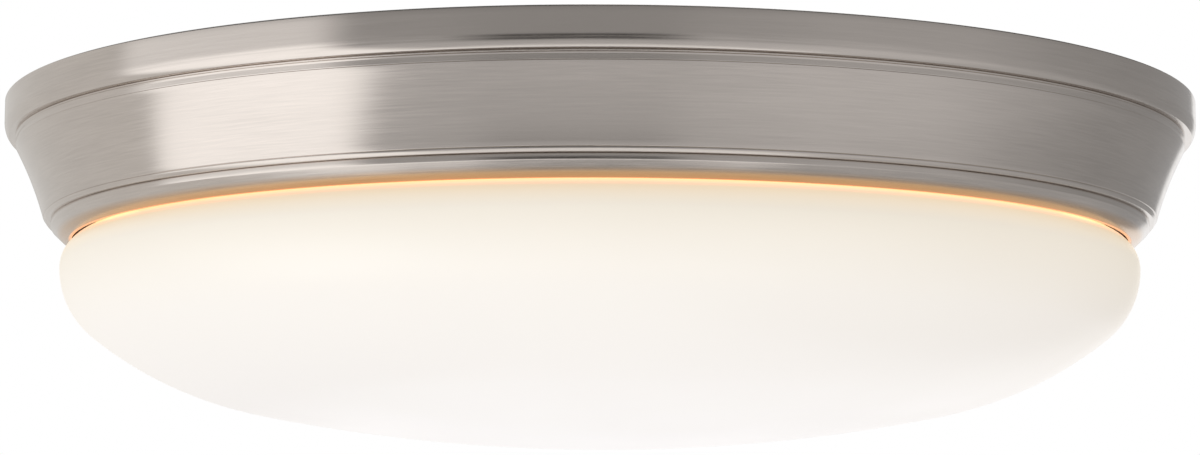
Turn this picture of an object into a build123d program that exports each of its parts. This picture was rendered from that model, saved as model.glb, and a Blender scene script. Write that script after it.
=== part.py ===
from build123d import *
import math
import os

# Flush mount ceiling light: a spun nickel ring, an opal glass bowl and what they hold inside.
# Millimetres. The origin is the centre of the ceiling plane, +Z points up into the ceiling,
# and the light hangs down along -Z. Heights (z) are therefore zero or negative.

# ---------------------------------------------------------------- ring
ring_radius = 178.0
ring_wall = 1.0
ring_flange_inner_radius = 166.0
band_depth = 7.0
upper_bead_radius = 3.6
bead_turn = 78.0
quirk_depth = 0.4
quirk_height = 0.16
quirk_fillet = 0.3
neck_low = (174.4, -13.7)
panel_top = (174.15, -14.4)
panel_bottom = (166.3, -34.0)
panel_hollow = 0.55
lower_bead_radius = 1.0
lower_bead_centre = (165.0, -34.65)
lower_bead_rise = 25.0
bevel_top = (164.1, -35.85)
lip_tip_radius = 159.5
lip_opening_radius = 157.8
lip_z = -41.1
lip_hem = 1.0

# ---------------------------------------------------------------- glass bowl
glass_wall = 3.2
glass_neck_radius = 150.5
glass_rim_radius = 151.7
glass_rim_z = -27.5
glass_rim_depth = 2.5
glass_widest_radius = 161.1
glass_widest_z = -48.9
glass_flare_radius = 3.0
glass_flare_z = -36.5
glass_top_bulge_radius = 9.55
glass_side_radius = 24.4
glass_side_turn = 51.6
glass_shoulder_radius = 108.0
glass_shoulder_turn = 78.7

# ---------------------------------------------------------------- base plate
plate_gauge = 1.2
plate_radius = 172.0
plate_rim_z = -ring_wall
plate_rim_inner_radius = 124.0
plate_field_radius = 115.0
plate_field_z = -9.0
plate_field_under = plate_field_z - plate_gauge
plate_rim_under = plate_rim_z - plate_gauge

ring_rivet_count = 6
ring_rivet_circle = 169.0
ring_rivet_radius = 1.6
rivet_head_radius = 3.0
rivet_head_height = 1.1

# ---------------------------------------------------------------- crossbar on the ceiling box
crossbar_length = 124.0
crossbar_width = 20.0
crossbar_gauge = 1.6
crossbar_centre_hole_radius = 5.2
box_slot_spacing = 79.4
box_slot_length = 14.0
box_slot_width = 4.6
stud_spacing = 108.0
stud_radius = 2.08
stud_length = 17.0
stud_hole_radius = 2.6
lock_nut_flats = 8.7
lock_nut_height = 3.2
cap_nut_flats = 9.5
cap_nut_height = 6.0
cap_nut_dome = 3.6
ground_screw_x = 22.0
ground_screw_radius = 2.4
ground_screw_head_radius = 4.8
ground_screw_head_height = 2.6

# ---------------------------------------------------------------- wiring
wire_hole_y = 27.0
wire_hole_radius = 10.0
bushing_bore_radius = 7.0
bushing_flange_radius = 12.5
bushing_flange_gauge = 1.8

block_size = (24.0, 17.0, 14.0)
block_y = 58.0
block_port_radius = 1.9
block_port_depth = 7.0
block_port_pitch = 5.0
block_screw_y = 70.5
block_ear = 9.0
block_ear_gauge = 2.5

lead_radius = 1.0
lead_gap = 2.6
grommet_bore_radius = 4.4
grommet_flange_radius = 7.6
grommet_flange_gauge = 1.0

# ---------------------------------------------------------------- driver
driver_size = (112.0, 42.0, 18.0)
driver_y = -45.0
driver_wall = 1.5
driver_ear = 9.0
driver_lid_gauge = 1.5
driver_board_gauge = 1.6
driver_board_clear = 3.0
driver_post_radius = 2.0
driver_lead_z = -20.0

# ---------------------------------------------------------------- light source
tray_radius = 128.0
tray_gauge = 1.5
tray_z = -31.2
tray_lip_height = 4.0
standoff_circle = 104.0
standoff_count = 3
standoff_radius = 4.0
board_radius = 112.0
board_gauge = 1.6
board_screw_circle = 46.0
chip_size = (2.8, 3.5, 0.8)
chip_rings = ((16.0, 4), (38.0, 10), (60.0, 16), (82.0, 22), (98.0, 28))
lead_hole_x = 90.0
lead_hole_radius = 5.4
connector_size = (9.0, 12.0, 5.0)
connector_y = 20.0
screw_radius = 1.5
screw_head_radius = 2.9
screw_head_height = 1.9
screw_hole_radius = 1.6

# ---------------------------------------------------------------- twist lock of the glass
lug_count = 3
lug_half_width = 10.9
lug_radius = 157.2
lug_gauge = 1.2
lug_bottom_z = -37.2
carrier_inner_radius = 152.4
carrier_wall = 1.2
carrier_top_z = -31.2
shelf_gap = 0.3
shelf_gauge = 1.2
shelf_inner_radius = 154.2
shelf_half_width = 12.4
bracket_leg_radius = 158.6
bracket_gauge = 1.2
bracket_foot_inner_radius = 142.0
bracket_rivet_radius_at = 149.0
bracket_rivet_offset = 7.0
stop_height = 2.0
stop_gauge = 1.2
spring_gauge = 0.5
spring_half_width = 4.0
spring_rivet_z = -22.0
spring_finger_gap = 0.4
clip_gauge = 0.6
clip_half_width = 5.0
clip_hook_gap = 0.3
clip_leg_bottom_z = -35.6
clip_rivet_z = -33.4
gasket_inner_radius = 152.2
gasket_bottom_z = -38.9
small_rivet_radius = 1.0
small_rivet_head_radius = 1.9
small_rivet_head_height = 0.7


# ---------------------------------------------------------------- helpers
def on_circle(centre, radius, angle):
    """A point of a section's arc: the angle is in degrees from the outward radius."""
    a = math.radians(angle)
    return (centre[0] + radius * math.cos(a), centre[1] + radius * math.sin(a))


def section_arc(centre, radius, start, end):
    """An arc of a section, between two angles."""
    points = [on_circle(centre, radius, a) for a in (start, (start + end) / 2, end)]
    return ThreePointArc(*points)


def spun(edges):
    """The solid of revolution of a closed section drawn as (radius, height)."""
    outline = Plane.XZ * Wire(edges)
    return revolve(make_face(outline), Axis.Z, 360)


def turned(points):
    """The solid of revolution of a section with straight sides."""
    outline = Plane.XZ * Polyline(*points, close=True)
    return revolve(make_face(outline), Axis.Z, 360)


def block(x_span, y_span, z_span):
    """A box between two planes in each direction."""
    size = [abs(b - a) for a, b in (x_span, y_span, z_span)]
    centre = [(a + b) / 2 for a, b in (x_span, y_span, z_span)]
    return Pos(*centre) * Box(*size)


def rod(radius, top, bottom, x=0.0, y=0.0):
    """An upright cylinder."""
    return Pos(x, y, (top + bottom) / 2) * Cylinder(radius, top - bottom)


def tube(outer, inner, top, bottom):
    """An upright tube about the axis of the light."""
    return rod(outer, top, bottom) - rod(inner, top, bottom)


def hexagon(flats, top, bottom, x=0.0, y=0.0):
    """An upright hexagonal bar."""
    prism = extrude(RegularPolygon(flats / 2, 6, major_radius=False), top - bottom)
    return Pos(x, y, bottom) * prism


def around(shape, count, first=0.0):
    """Copies of a piece, evenly turned about the axis of the light."""
    return [Rot(0, 0, first + 360.0 * i / count) * shape for i in range(count)]


def round_places(radius, count, first=0.0):
    """Points evenly spaced on a circle."""
    angles = [math.radians(first + 360.0 * i / count) for i in range(count)]
    return [(radius * math.cos(a), radius * math.sin(a)) for a in angles]


def pan_screw(x, y, under, top):
    """A pan head screw that goes up from its head's seat to its tip."""
    head = rod(screw_head_radius, under, under - screw_head_height, x, y)
    head = fillet(head.edges().sort_by(Axis.Z)[0], 0.8)
    return head + rod(screw_radius, top, under, x, y)


def radial_rivet(inner, outer, z):
    """A rivet along +X through the stock between two radii, with a head at each end."""
    length = outer - inner
    shank = Pos((inner + outer) / 2, 0, z) * Rot(0, 90, 0) * Cylinder(small_rivet_radius, length)
    head = Rot(0, 90, 0) * Cylinder(small_rivet_head_radius, small_rivet_head_height)
    inside = Pos(inner - small_rivet_head_height / 2, 0, z) * head
    outside = Pos(outer + small_rivet_head_height / 2, 0, z) * head
    return shank + inside + outside


def radial_hole(inner, outer, z):
    """The hole of a radial rivet along +X."""
    middle = (inner + outer) / 2
    return Pos(middle, 0, z) * Rot(0, 90, 0) * Cylinder(small_rivet_radius, outer - inner)


def routed(name, points):
    """A wire along straight runs joined by arcs, as large as the shorter run at each corner allows."""
    runs = [Vector(*b) - Vector(*a) for a, b in zip(points, points[1:])]
    radii = []
    for before, after in zip(runs, runs[1:]):
        half_turn = math.radians(before.get_angle(after)) / 2
        radii.append(0.45 * min(before.length, after.length) / math.tan(half_turn))
    path = FilletPolyline(*points, radius=radii)
    section = Plane(origin=path @ 0, z_dir=path % 0) * Circle(lead_radius)
    wire = sweep(section, path=path)
    expected = math.pi * lead_radius ** 2 * path.length
    print(name, "radii", [round(r, 1) for r in radii], "length", round(path.length, 1),
          "volume over expected", round(wire.volume / expected, 4))
    return wire


# ---------------------------------------------------------------- the shell
def trim_ring():
    bead_centre = (ring_radius - upper_bead_radius, -band_depth)
    bead_end = on_circle(bead_centre, upper_bead_radius, -bead_turn)
    quirk_high = (bead_end[0] - quirk_depth, bead_end[1])
    quirk_low = (quirk_high[0], quirk_high[1] - quirk_height)
    fillet_centre = (quirk_low[0] + quirk_fillet, quirk_low[1] - quirk_fillet)
    neck_angles = (100.0, 172.0)
    neck_high = on_circle(fillet_centre, quirk_fillet, neck_angles[1])
    fillet_start = on_circle(fillet_centre, quirk_fillet, neck_angles[0])
    panel_middle = ((panel_top[0] + panel_bottom[0]) / 2 - panel_hollow,
                    (panel_top[1] + panel_bottom[1]) / 2)
    low_bead_start = on_circle(lower_bead_centre, lower_bead_radius, lower_bead_rise)
    low_bead_end = on_circle(lower_bead_centre, lower_bead_radius, -bead_turn)
    low_quirk = (bevel_top[0], low_bead_end[1])

    bevel_run = (bevel_top[0] - lip_tip_radius) / (bevel_top[1] - lip_z)
    slant = math.hypot(1.0, bevel_run)
    hem_z = lip_z + lip_hem
    bevel_inner_low = (lip_tip_radius + bevel_run * lip_hem - ring_wall * slant, hem_z)
    bevel_inner_rise = 4.4
    bevel_inner_high = (bevel_inner_low[0] + bevel_run * bevel_inner_rise, hem_z + bevel_inner_rise)

    panel_inner_low = (panel_bottom[0] - ring_wall - 0.1, panel_bottom[1])
    panel_inner_middle = (panel_middle[0] - ring_wall - 0.1, panel_middle[1])
    panel_inner_high = (panel_top[0] - ring_wall - 0.1, panel_top[1])
    shoulder_inner = (panel_inner_high[0], quirk_low[1] - 0.5)
    bead_inner = on_circle(bead_centre, upper_bead_radius - 1.4, -42.0)
    band_inner_low = (ring_radius - ring_wall, -band_depth)
    band_inner_high = (ring_radius - ring_wall, -ring_wall)

    edges = [
        Line((ring_flange_inner_radius, 0), (ring_radius, 0)),
        Line((ring_radius, 0), (ring_radius, -band_depth)),
        section_arc(bead_centre, upper_bead_radius, 0, -bead_turn),
        Line(bead_end, quirk_high),
        Line(quirk_high, quirk_low),
        Line(quirk_low, fillet_start),
        section_arc(fillet_centre, quirk_fillet, *neck_angles),
        Line(neck_high, neck_low),
        Line(neck_low, panel_top),
        ThreePointArc(panel_top, panel_middle, panel_bottom),
        Line(panel_bottom, low_bead_start),
        section_arc(lower_bead_centre, lower_bead_radius, lower_bead_rise, -bead_turn),
        Line(low_bead_end, low_quirk),
        Line(low_quirk, bevel_top),
        Line(bevel_top, (lip_tip_radius, lip_z)),
        Line((lip_tip_radius, lip_z), (lip_opening_radius, lip_z)),
        Line((lip_opening_radius, lip_z), (lip_opening_radius, hem_z)),
        Line((lip_opening_radius, hem_z), bevel_inner_low),
        Line(bevel_inner_low, bevel_inner_high),
        Line(bevel_inner_high, panel_inner_low),
        ThreePointArc(panel_inner_low, panel_inner_middle, panel_inner_high),
        Line(panel_inner_high, shoulder_inner),
        Line(shoulder_inner, bead_inner),
        Line(bead_inner, band_inner_low),
        Line(band_inner_low, band_inner_high),
        Line(band_inner_high, (ring_flange_inner_radius, -ring_wall)),
        Line((ring_flange_inner_radius, -ring_wall), (ring_flange_inner_radius, 0)),
    ]
    ring = spun(edges)
    for x, y in round_places(ring_rivet_circle, ring_rivet_count, 30):
        ring -= rod(ring_rivet_radius, 1, -ring_wall - 1, x, y)
    return ring


def base_plate():
    slope_shift = 0.55
    plate = turned([
        (0, plate_field_z),
        (plate_field_radius, plate_field_z),
        (plate_rim_inner_radius, plate_rim_z),
        (plate_radius, plate_rim_z),
        (plate_radius, plate_rim_under),
        (plate_rim_inner_radius + slope_shift, plate_rim_under),
        (plate_field_radius + slope_shift, plate_field_under),
        (0, plate_field_under),
    ])
    over = plate_field_z + 1
    under = plate_field_under - 1
    plate -= rod(wire_hole_radius, over, under, 0, wire_hole_y)
    for x in (-stud_spacing / 2, stud_spacing / 2):
        plate -= rod(stud_hole_radius, over, under, x, 0)
    for x, y in driver_screw_places():
        plate -= rod(screw_hole_radius, over, under, x, y)
    plate -= rod(screw_hole_radius, over, under, 0, block_screw_y)
    for x, y in round_places(ring_rivet_circle, ring_rivet_count, 30):
        plate -= rod(ring_rivet_radius, 0, plate_rim_under - 1, x, y)
    for x, y in standoff_places():
        plate -= rod(screw_hole_radius, over, under, x, y)
    for x, y in bracket_rivet_places():
        plate -= rod(ring_rivet_radius, 0, plate_rim_under - 1, x, y)
    return plate


def ring_rivets():
    rivets = []
    for x, y in round_places(ring_rivet_circle, ring_rivet_count, 30):
        shank = rod(ring_rivet_radius, 0, plate_rim_under, x, y)
        head = rod(rivet_head_radius, plate_rim_under, plate_rim_under - rivet_head_height, x, y)
        head = fillet(head.edges().sort_by(Axis.Z)[0], 0.8)
        rivets.append(shank + head)
    return rivets


# ---------------------------------------------------------------- crossbar and its fasteners
def crossbar():
    half = crossbar_length / 2 - crossbar_width / 2
    bar = block((-half, half), (-crossbar_width / 2, crossbar_width / 2), (-crossbar_gauge, 0))
    for x in (-half, half):
        bar += rod(crossbar_width / 2, 0, -crossbar_gauge, x)
    bar -= rod(crossbar_centre_hole_radius, 1, -crossbar_gauge - 1)
    slot = extrude(SlotOverall(box_slot_length, box_slot_width), crossbar_gauge + 2)
    for x in (-box_slot_spacing / 2, box_slot_spacing / 2):
        bar -= Pos(x, 0, -crossbar_gauge - 1) * slot
    for x in (-stud_spacing / 2, stud_spacing / 2):
        bar -= rod(stud_radius, 1, -crossbar_gauge - 1, x)
    bar -= rod(ground_screw_radius, 1, -crossbar_gauge - 1, ground_screw_x)
    return bar


def crossbar_studs():
    return [rod(stud_radius, 0, -stud_length, x) for x in (-stud_spacing / 2, stud_spacing / 2)]


def stud_lock_nuts():
    nuts = []
    for x in (-stud_spacing / 2, stud_spacing / 2):
        nut = hexagon(lock_nut_flats, -crossbar_gauge, -crossbar_gauge - lock_nut_height, x)
        nuts.append(nut - rod(stud_radius, 0, -stud_length, x))
    return nuts


def cap_nuts():
    nuts = []
    for x in (-stud_spacing / 2, stud_spacing / 2):
        low = plate_field_under - cap_nut_height
        nut = hexagon(cap_nut_flats, plate_field_under, low, x)
        dome = rod(cap_nut_flats / 2 - 0.4, low, low - cap_nut_dome, x)
        dome = fillet(dome.edges().sort_by(Axis.Z)[0], cap_nut_dome - 0.4)
        nuts.append(nut + dome - rod(stud_radius, 0, -stud_length, x))
    return nuts


def ground_screw():
    under = -crossbar_gauge
    head = hexagon(2 * ground_screw_head_radius * 0.8, under - 0.8,
                   under - 0.8 - ground_screw_head_height, ground_screw_x)
    washer = rod(ground_screw_head_radius, under, under - 0.8, ground_screw_x)
    shank = rod(ground_screw_radius, 0, under, ground_screw_x)
    slot = block((ground_screw_x - 5, ground_screw_x + 5), (-0.5, 0.5), (under - 5, under - 2.4))
    return head + washer + shank - slot


# ---------------------------------------------------------------- wiring
def wire_bushing():
    upper = tube(bushing_flange_radius, bushing_bore_radius,
                 plate_field_z + bushing_flange_gauge, plate_field_z)
    lower = tube(bushing_flange_radius, bushing_bore_radius,
                 plate_field_under, plate_field_under - bushing_flange_gauge)
    neck = tube(wire_hole_radius, bushing_bore_radius, plate_field_z, plate_field_under)
    return Pos(0, wire_hole_y, 0) * (upper + neck + lower)


def block_ports(x_outside, x_inside):
    """The round wire ports in one end of the terminal block."""
    z = plate_field_under - block_size[2] / 2
    ports = []
    for i in (-1, 0, 1):
        port = Rot(0, 90, 0) * Cylinder(block_port_radius, abs(x_outside - x_inside))
        ports.append(Pos((x_outside + x_inside) / 2, block_y + i * block_port_pitch, z) * port)
    return ports


def terminal_block():
    length, width, height = block_size
    top = plate_field_under
    body = block((-length / 2, length / 2), (block_y - width / 2, block_y + width / 2),
                 (top - height, top))
    body = fillet(body.edges().filter_by(Axis.Z), 1.2)
    ear_end = block_y + width / 2 + block_ear
    ear = block((-5, 5), (block_y, ear_end), (top - block_ear_gauge, top))
    body += ear
    body -= rod(screw_hole_radius, top + 1, top - block_ear_gauge - 1, 0, block_screw_y)
    for port in block_ports(length / 2, length / 2 - block_port_depth):
        body -= port
    for port in block_ports(-length / 2, -length / 2 + block_port_depth):
        body -= port
    return body


def terminal_screw():
    return pan_screw(0, block_screw_y, plate_field_under - block_ear_gauge, plate_field_z)


def input_lead(outer):
    """A wire from the lamp side of the terminal block round to the driver's left end.

    The outer wire starts one port further back and runs outside the inner one.
    """
    z = plate_field_under - block_size[2] / 2
    start_x = -block_size[0] / 2 + block_port_depth - 1
    start_y = block_y + (block_port_pitch if outer else 0)
    out = 3.2 if outer else 0.0
    end_x = -driver_size[0] / 2 + driver_wall + 1
    end_y = driver_y + (-5.3 if outer else 1.3)
    return routed("outer input lead" if outer else "inner input lead", [
        (start_x, start_y, z),
        (-46, start_y, z),
        (-80 - out, 34 + out, z - 1),
        (-89 - out, 0, z - 2),
        (-83 - out, -32 - out, driver_lead_z),
        (-72 - out, end_y, driver_lead_z),
        (end_x, end_y, driver_lead_z),
    ])


def output_lead(side):
    """A wire from the driver's right end down through the tray to the LED board's connector."""
    shift = side * lead_gap / 2
    start_x = driver_size[0] / 2 - driver_wall - 1
    x = lead_hole_x + shift
    connector_z = tray_z - tray_gauge - board_gauge - connector_size[2] / 2
    return routed("output lead", [
        (start_x, driver_y - shift, driver_lead_z),
        (76 + shift, driver_y - shift, driver_lead_z),
        (x, -24, driver_lead_z),
        (x, 0, driver_lead_z - 2),
        (x, 0, connector_z),
        (x, connector_y - connector_size[1] / 2, connector_z),
    ])


def lead_grommet():
    """The rubber grommet that guards the leads where they pass the tray and the LED board."""
    top = tray_z
    low = tray_z - tray_gauge - board_gauge
    neck = rod(lead_hole_radius, top, low)
    upper = rod(grommet_flange_radius, top + grommet_flange_gauge, top)
    lower = rod(grommet_flange_radius, low, low - grommet_flange_gauge)
    return Pos(lead_hole_x, 0, 0) * (neck + upper + lower - rod(grommet_bore_radius, 0, low - 5))


# ---------------------------------------------------------------- driver
def driver_screw_places():
    x = driver_size[0] / 2 + driver_ear / 2
    return [(-x, driver_y + 12), (x, driver_y + 12)]


def driver_case():
    length, width, height = driver_size
    top = plate_field_under
    low = top - height
    half_x = length / 2
    y_low = driver_y - width / 2
    y_high = driver_y + width / 2
    shell = block((-half_x, half_x), (y_low, y_high), (low, top))
    shell = fillet(shell.edges().filter_by(Axis.Z), 2.0)
    w = driver_wall
    shell -= block((-half_x + w, half_x - w), (y_low + w, y_high - w), (low - 1, top - w))
    for sign in (-1, 1):
        ear = block((sign * (half_x - 1), sign * (half_x + driver_ear)),
                    (driver_y + 5, driver_y + 19), (top - w, top))
        shell += ear
    for x, y in driver_screw_places():
        shell -= rod(screw_hole_radius, top + 1, low - 1, x, y)
    for sign in (-1, 1):
        window = block((sign * (half_x - w - 1), sign * (half_x + 1)),
                       (driver_y - 8, driver_y + 4), (driver_lead_z - 2, driver_lead_z + 2))
        shell -= window
    for x, y in driver_post_places():
        shell += rod(driver_post_radius, top - w, top - w - driver_board_clear, x, y)
    return shell


def driver_post_places():
    x = driver_size[0] / 2 - 6
    y = driver_size[1] / 2 - 5
    return [(sx * x, driver_y + sy * y) for sx in (-1, 1) for sy in (-1, 1)]


def driver_lid():
    length, width, height = driver_size
    low = plate_field_under - height
    lid = block((-length / 2, length / 2), (driver_y - width / 2, driver_y + width / 2),
                (low - driver_lid_gauge, low))
    lid = fillet(lid.edges().filter_by(Axis.Z), 2.0)
    gap = driver_wall + 0.15
    skirt = block((-length / 2 + gap, length / 2 - gap),
                  (driver_y - width / 2 + gap, driver_y + width / 2 - gap), (low, low + 2))
    inner = gap + 1.2
    skirt -= block((-length / 2 + inner, length / 2 - inner),
                   (driver_y - width / 2 + inner, driver_y + width / 2 - inner), (low, low + 3))
    return lid + skirt


def driver_board_top():
    return plate_field_under - driver_wall - driver_board_clear


def driver_board():
    length, width, _ = driver_size
    top = driver_board_top()
    return block((-length / 2 + 4, length / 2 - 4),
                 (driver_y - width / 2 + 3, driver_y + width / 2 - 3),
                 (top - driver_board_gauge, top))


def driver_transformer():
    top = driver_board_top() - driver_board_gauge
    core = block((-12, 6), (driver_y - 9, driver_y + 9), (top - 9, top))
    winding = block((-8, 2), (driver_y - 12, driver_y + 12), (top - 7.5, top))
    return core + winding


def driver_capacitors():
    top = driver_board_top() - driver_board_gauge
    upright = fillet(rod(4.0, top, top - 9, -28, driver_y + 8).edges(), 0.5)
    second = Pos(0, -15, 0) * upright
    output = fillet(rod(5.0, top, top - 9, 24, driver_y + 2).edges(), 0.5)
    return [upright, second, output]


def driver_screws():
    under = plate_field_under - driver_wall
    return [pan_screw(x, y, under, plate_field_z) for x, y in driver_screw_places()]


# ---------------------------------------------------------------- light source
def standoff_places():
    return round_places(standoff_circle, standoff_count, 90)


def board_screw_places():
    return round_places(board_screw_circle, 3, 30)


def tray_standoffs():
    posts = []
    for x, y in standoff_places():
        post = hexagon(2 * standoff_radius, plate_field_under, tray_z, x, y)
        stem = rod(screw_hole_radius, plate_field_z, plate_field_under, x, y)
        posts.append(post + stem - rod(screw_radius, tray_z + 8, tray_z - 1, x, y))
    return posts


def tray_screws():
    under = tray_z - tray_gauge
    return [pan_screw(x, y, under, tray_z + 8) for x, y in standoff_places()]


def led_tray():
    inner_radius = tray_radius - tray_gauge
    tray = rod(tray_radius, tray_z, tray_z - tray_gauge)
    tray += tube(tray_radius, inner_radius, tray_z + tray_lip_height, tray_z - tray_gauge)
    over = tray_z + 1
    under = tray_z - tray_gauge - 1
    for x, y in standoff_places():
        tray -= rod(screw_hole_radius, over, under, x, y)
    for x, y in board_screw_places():
        tray -= rod(screw_radius, over, under, x, y)
    return tray - rod(lead_hole_radius, over, under, lead_hole_x, 0)


def led_board():
    top = tray_z - tray_gauge
    board = rod(board_radius, top, top - board_gauge)
    for x, y in standoff_places():
        board -= rod(screw_head_radius + 1.6, top + 1, top - board_gauge - 1, x, y)
    for x, y in board_screw_places():
        board -= rod(screw_hole_radius, top + 1, top - board_gauge - 1, x, y)
    return board - rod(lead_hole_radius, top + 1, top - board_gauge - 1, lead_hole_x, 0)


def led_chips():
    top = tray_z - tray_gauge - board_gauge
    chips = []
    for radius, count in chip_rings:
        chip = block((radius - chip_size[0] / 2, radius + chip_size[0] / 2),
                     (-chip_size[1] / 2, chip_size[1] / 2), (top - chip_size[2], top))
        first = 180.0 / count
        chips += [c for c in around(chip, count, first) if clear_of_fixings(c.center())]
    return chips


def clear_of_fixings(centre):
    """True where a chip meets no screw, hole or connector of the board."""
    far = 9.0
    busy = standoff_places() + board_screw_places() + [(lead_hole_x, 0)]
    at_connector = abs(centre.X - lead_hole_x) < far and 0 < centre.Y < connector_y + far
    return not at_connector and all(math.hypot(centre.X - x, centre.Y - y) > far for x, y in busy)


def board_screws():
    under = tray_z - tray_gauge - board_gauge
    return [pan_screw(x, y, under, tray_z) for x, y in board_screw_places()]


def board_connector():
    top = tray_z - tray_gauge - board_gauge
    width, length, height = connector_size
    body = block((lead_hole_x - width / 2, lead_hole_x + width / 2),
                 (connector_y - length / 2, connector_y + length / 2), (top - height, top))
    return fillet(body.edges().filter_by(Axis.Z), 0.6)


# ---------------------------------------------------------------- twist lock
def shelf_top():
    return lug_bottom_z - shelf_gap


def bracket_rivet_places():
    places = []
    for angle in lug_angles():
        a = math.radians(angle)
        for side in (-bracket_rivet_offset, bracket_rivet_offset):
            x = bracket_rivet_radius_at * math.cos(a) - side * math.sin(a)
            y = bracket_rivet_radius_at * math.sin(a) + side * math.cos(a)
            places.append((x, y))
    return places


def lug_angles():
    return [90.0 + 360.0 * i / lug_count for i in range(lug_count)]


def lug_bracket():
    """A hook bracket at angle 0: a foot under the plate, a leg, a shelf under the lug and its stop."""
    half = shelf_half_width
    outer = bracket_leg_radius + bracket_gauge
    foot = block((bracket_foot_inner_radius, outer), (-half, half),
                 (plate_rim_under - bracket_gauge, plate_rim_under))
    low = shelf_top() - shelf_gauge
    leg = block((bracket_leg_radius, outer), (-half, half), (low, plate_rim_under))
    shelf = block((shelf_inner_radius - 3, outer), (-half, half), (low, shelf_top()))
    shelf -= rod(shelf_inner_radius, 0, low - 1)
    stop = block((shelf_inner_radius + 1, outer), (half - stop_gauge, half),
                 (low, shelf_top() + stop_height))
    bracket = foot + leg + shelf + stop
    for side in (-bracket_rivet_offset, bracket_rivet_offset):
        bracket -= rod(ring_rivet_radius, 0, plate_rim_under - bracket_gauge - 1,
                       bracket_rivet_radius_at, side)
    return bracket - radial_hole(bracket_leg_radius - 1, outer + 1, spring_rivet_z)


def bracket_rivets():
    rivets = []
    under = plate_rim_under - bracket_gauge
    for x, y in bracket_rivet_places():
        shank = rod(ring_rivet_radius, plate_rim_z, under, x, y)
        lower = rod(rivet_head_radius, under, under - rivet_head_height, x, y)
        lower = fillet(lower.edges().sort_by(Axis.Z)[0], 0.8)
        upper = rod(rivet_head_radius - 0.6, plate_rim_z + 0.8, plate_rim_z, x, y)
        rivets.append(shank + lower + upper)
    return rivets


def hold_down_spring():
    """A leaf spring at angle 0: a leg on the bracket and a finger over the lug."""
    finger_under = lug_bottom_z + lug_gauge + spring_finger_gap
    leg = block((bracket_leg_radius - spring_gauge, bracket_leg_radius),
                (-spring_half_width, spring_half_width), (finger_under, spring_rivet_z + 5))
    finger = block((shelf_inner_radius + 0.6, bracket_leg_radius),
                   (-spring_half_width, spring_half_width),
                   (finger_under, finger_under + spring_gauge))
    spring = leg + finger
    return spring - radial_hole(bracket_leg_radius - 2, bracket_leg_radius + 1, spring_rivet_z)


def spring_rivet():
    return radial_rivet(bracket_leg_radius - spring_gauge, bracket_leg_radius + bracket_gauge,
                        spring_rivet_z)


def glass_carrier_ring():
    wall_outer = carrier_inner_radius + carrier_wall
    ring = tube(wall_outer, carrier_inner_radius, carrier_top_z, lug_bottom_z)
    lug_stock = tube(lug_radius, carrier_inner_radius, lug_bottom_z + lug_gauge, lug_bottom_z)
    sector = block((carrier_inner_radius - 8, lug_radius + 1), (-lug_half_width, lug_half_width),
                   (lug_bottom_z - 1, 0))
    for lug in around(lug_stock & sector, lug_count, lug_angles()[0]):
        ring += lug
    hole = radial_hole(carrier_inner_radius - 1, wall_outer + 1, clip_rivet_z)
    for cut in around(hole, lug_count, lug_angles()[0] + 60):
        ring -= cut
    return ring


def glass_clip():
    """A spring clip at angle 0: a leg outside the carrier and a hook under the glass rim."""
    wall_outer = carrier_inner_radius + carrier_wall
    hook_top = glass_rim_z - glass_rim_depth - clip_hook_gap
    leg = tube(wall_outer + clip_gauge, wall_outer, hook_top, clip_leg_bottom_z)
    hook = tube(wall_outer + clip_gauge, glass_neck_radius + clip_hook_gap,
                hook_top, hook_top - clip_gauge)
    sector = block((glass_neck_radius - 5, wall_outer + 5), (-clip_half_width, clip_half_width),
                   (clip_leg_bottom_z - 1, 0))
    clip = (leg + hook) & sector
    return clip - radial_hole(carrier_inner_radius, wall_outer + 3, clip_rivet_z)


def clip_rivet():
    seat = 0.02
    return radial_rivet(carrier_inner_radius - seat,
                        carrier_inner_radius + carrier_wall + clip_gauge, clip_rivet_z)


def glass_gasket():
    """The silicone ring under the carrier, on which the flare of the glass bears."""
    return tube(carrier_inner_radius + carrier_wall, gasket_inner_radius,
                lug_bottom_z, gasket_bottom_z)


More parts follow.
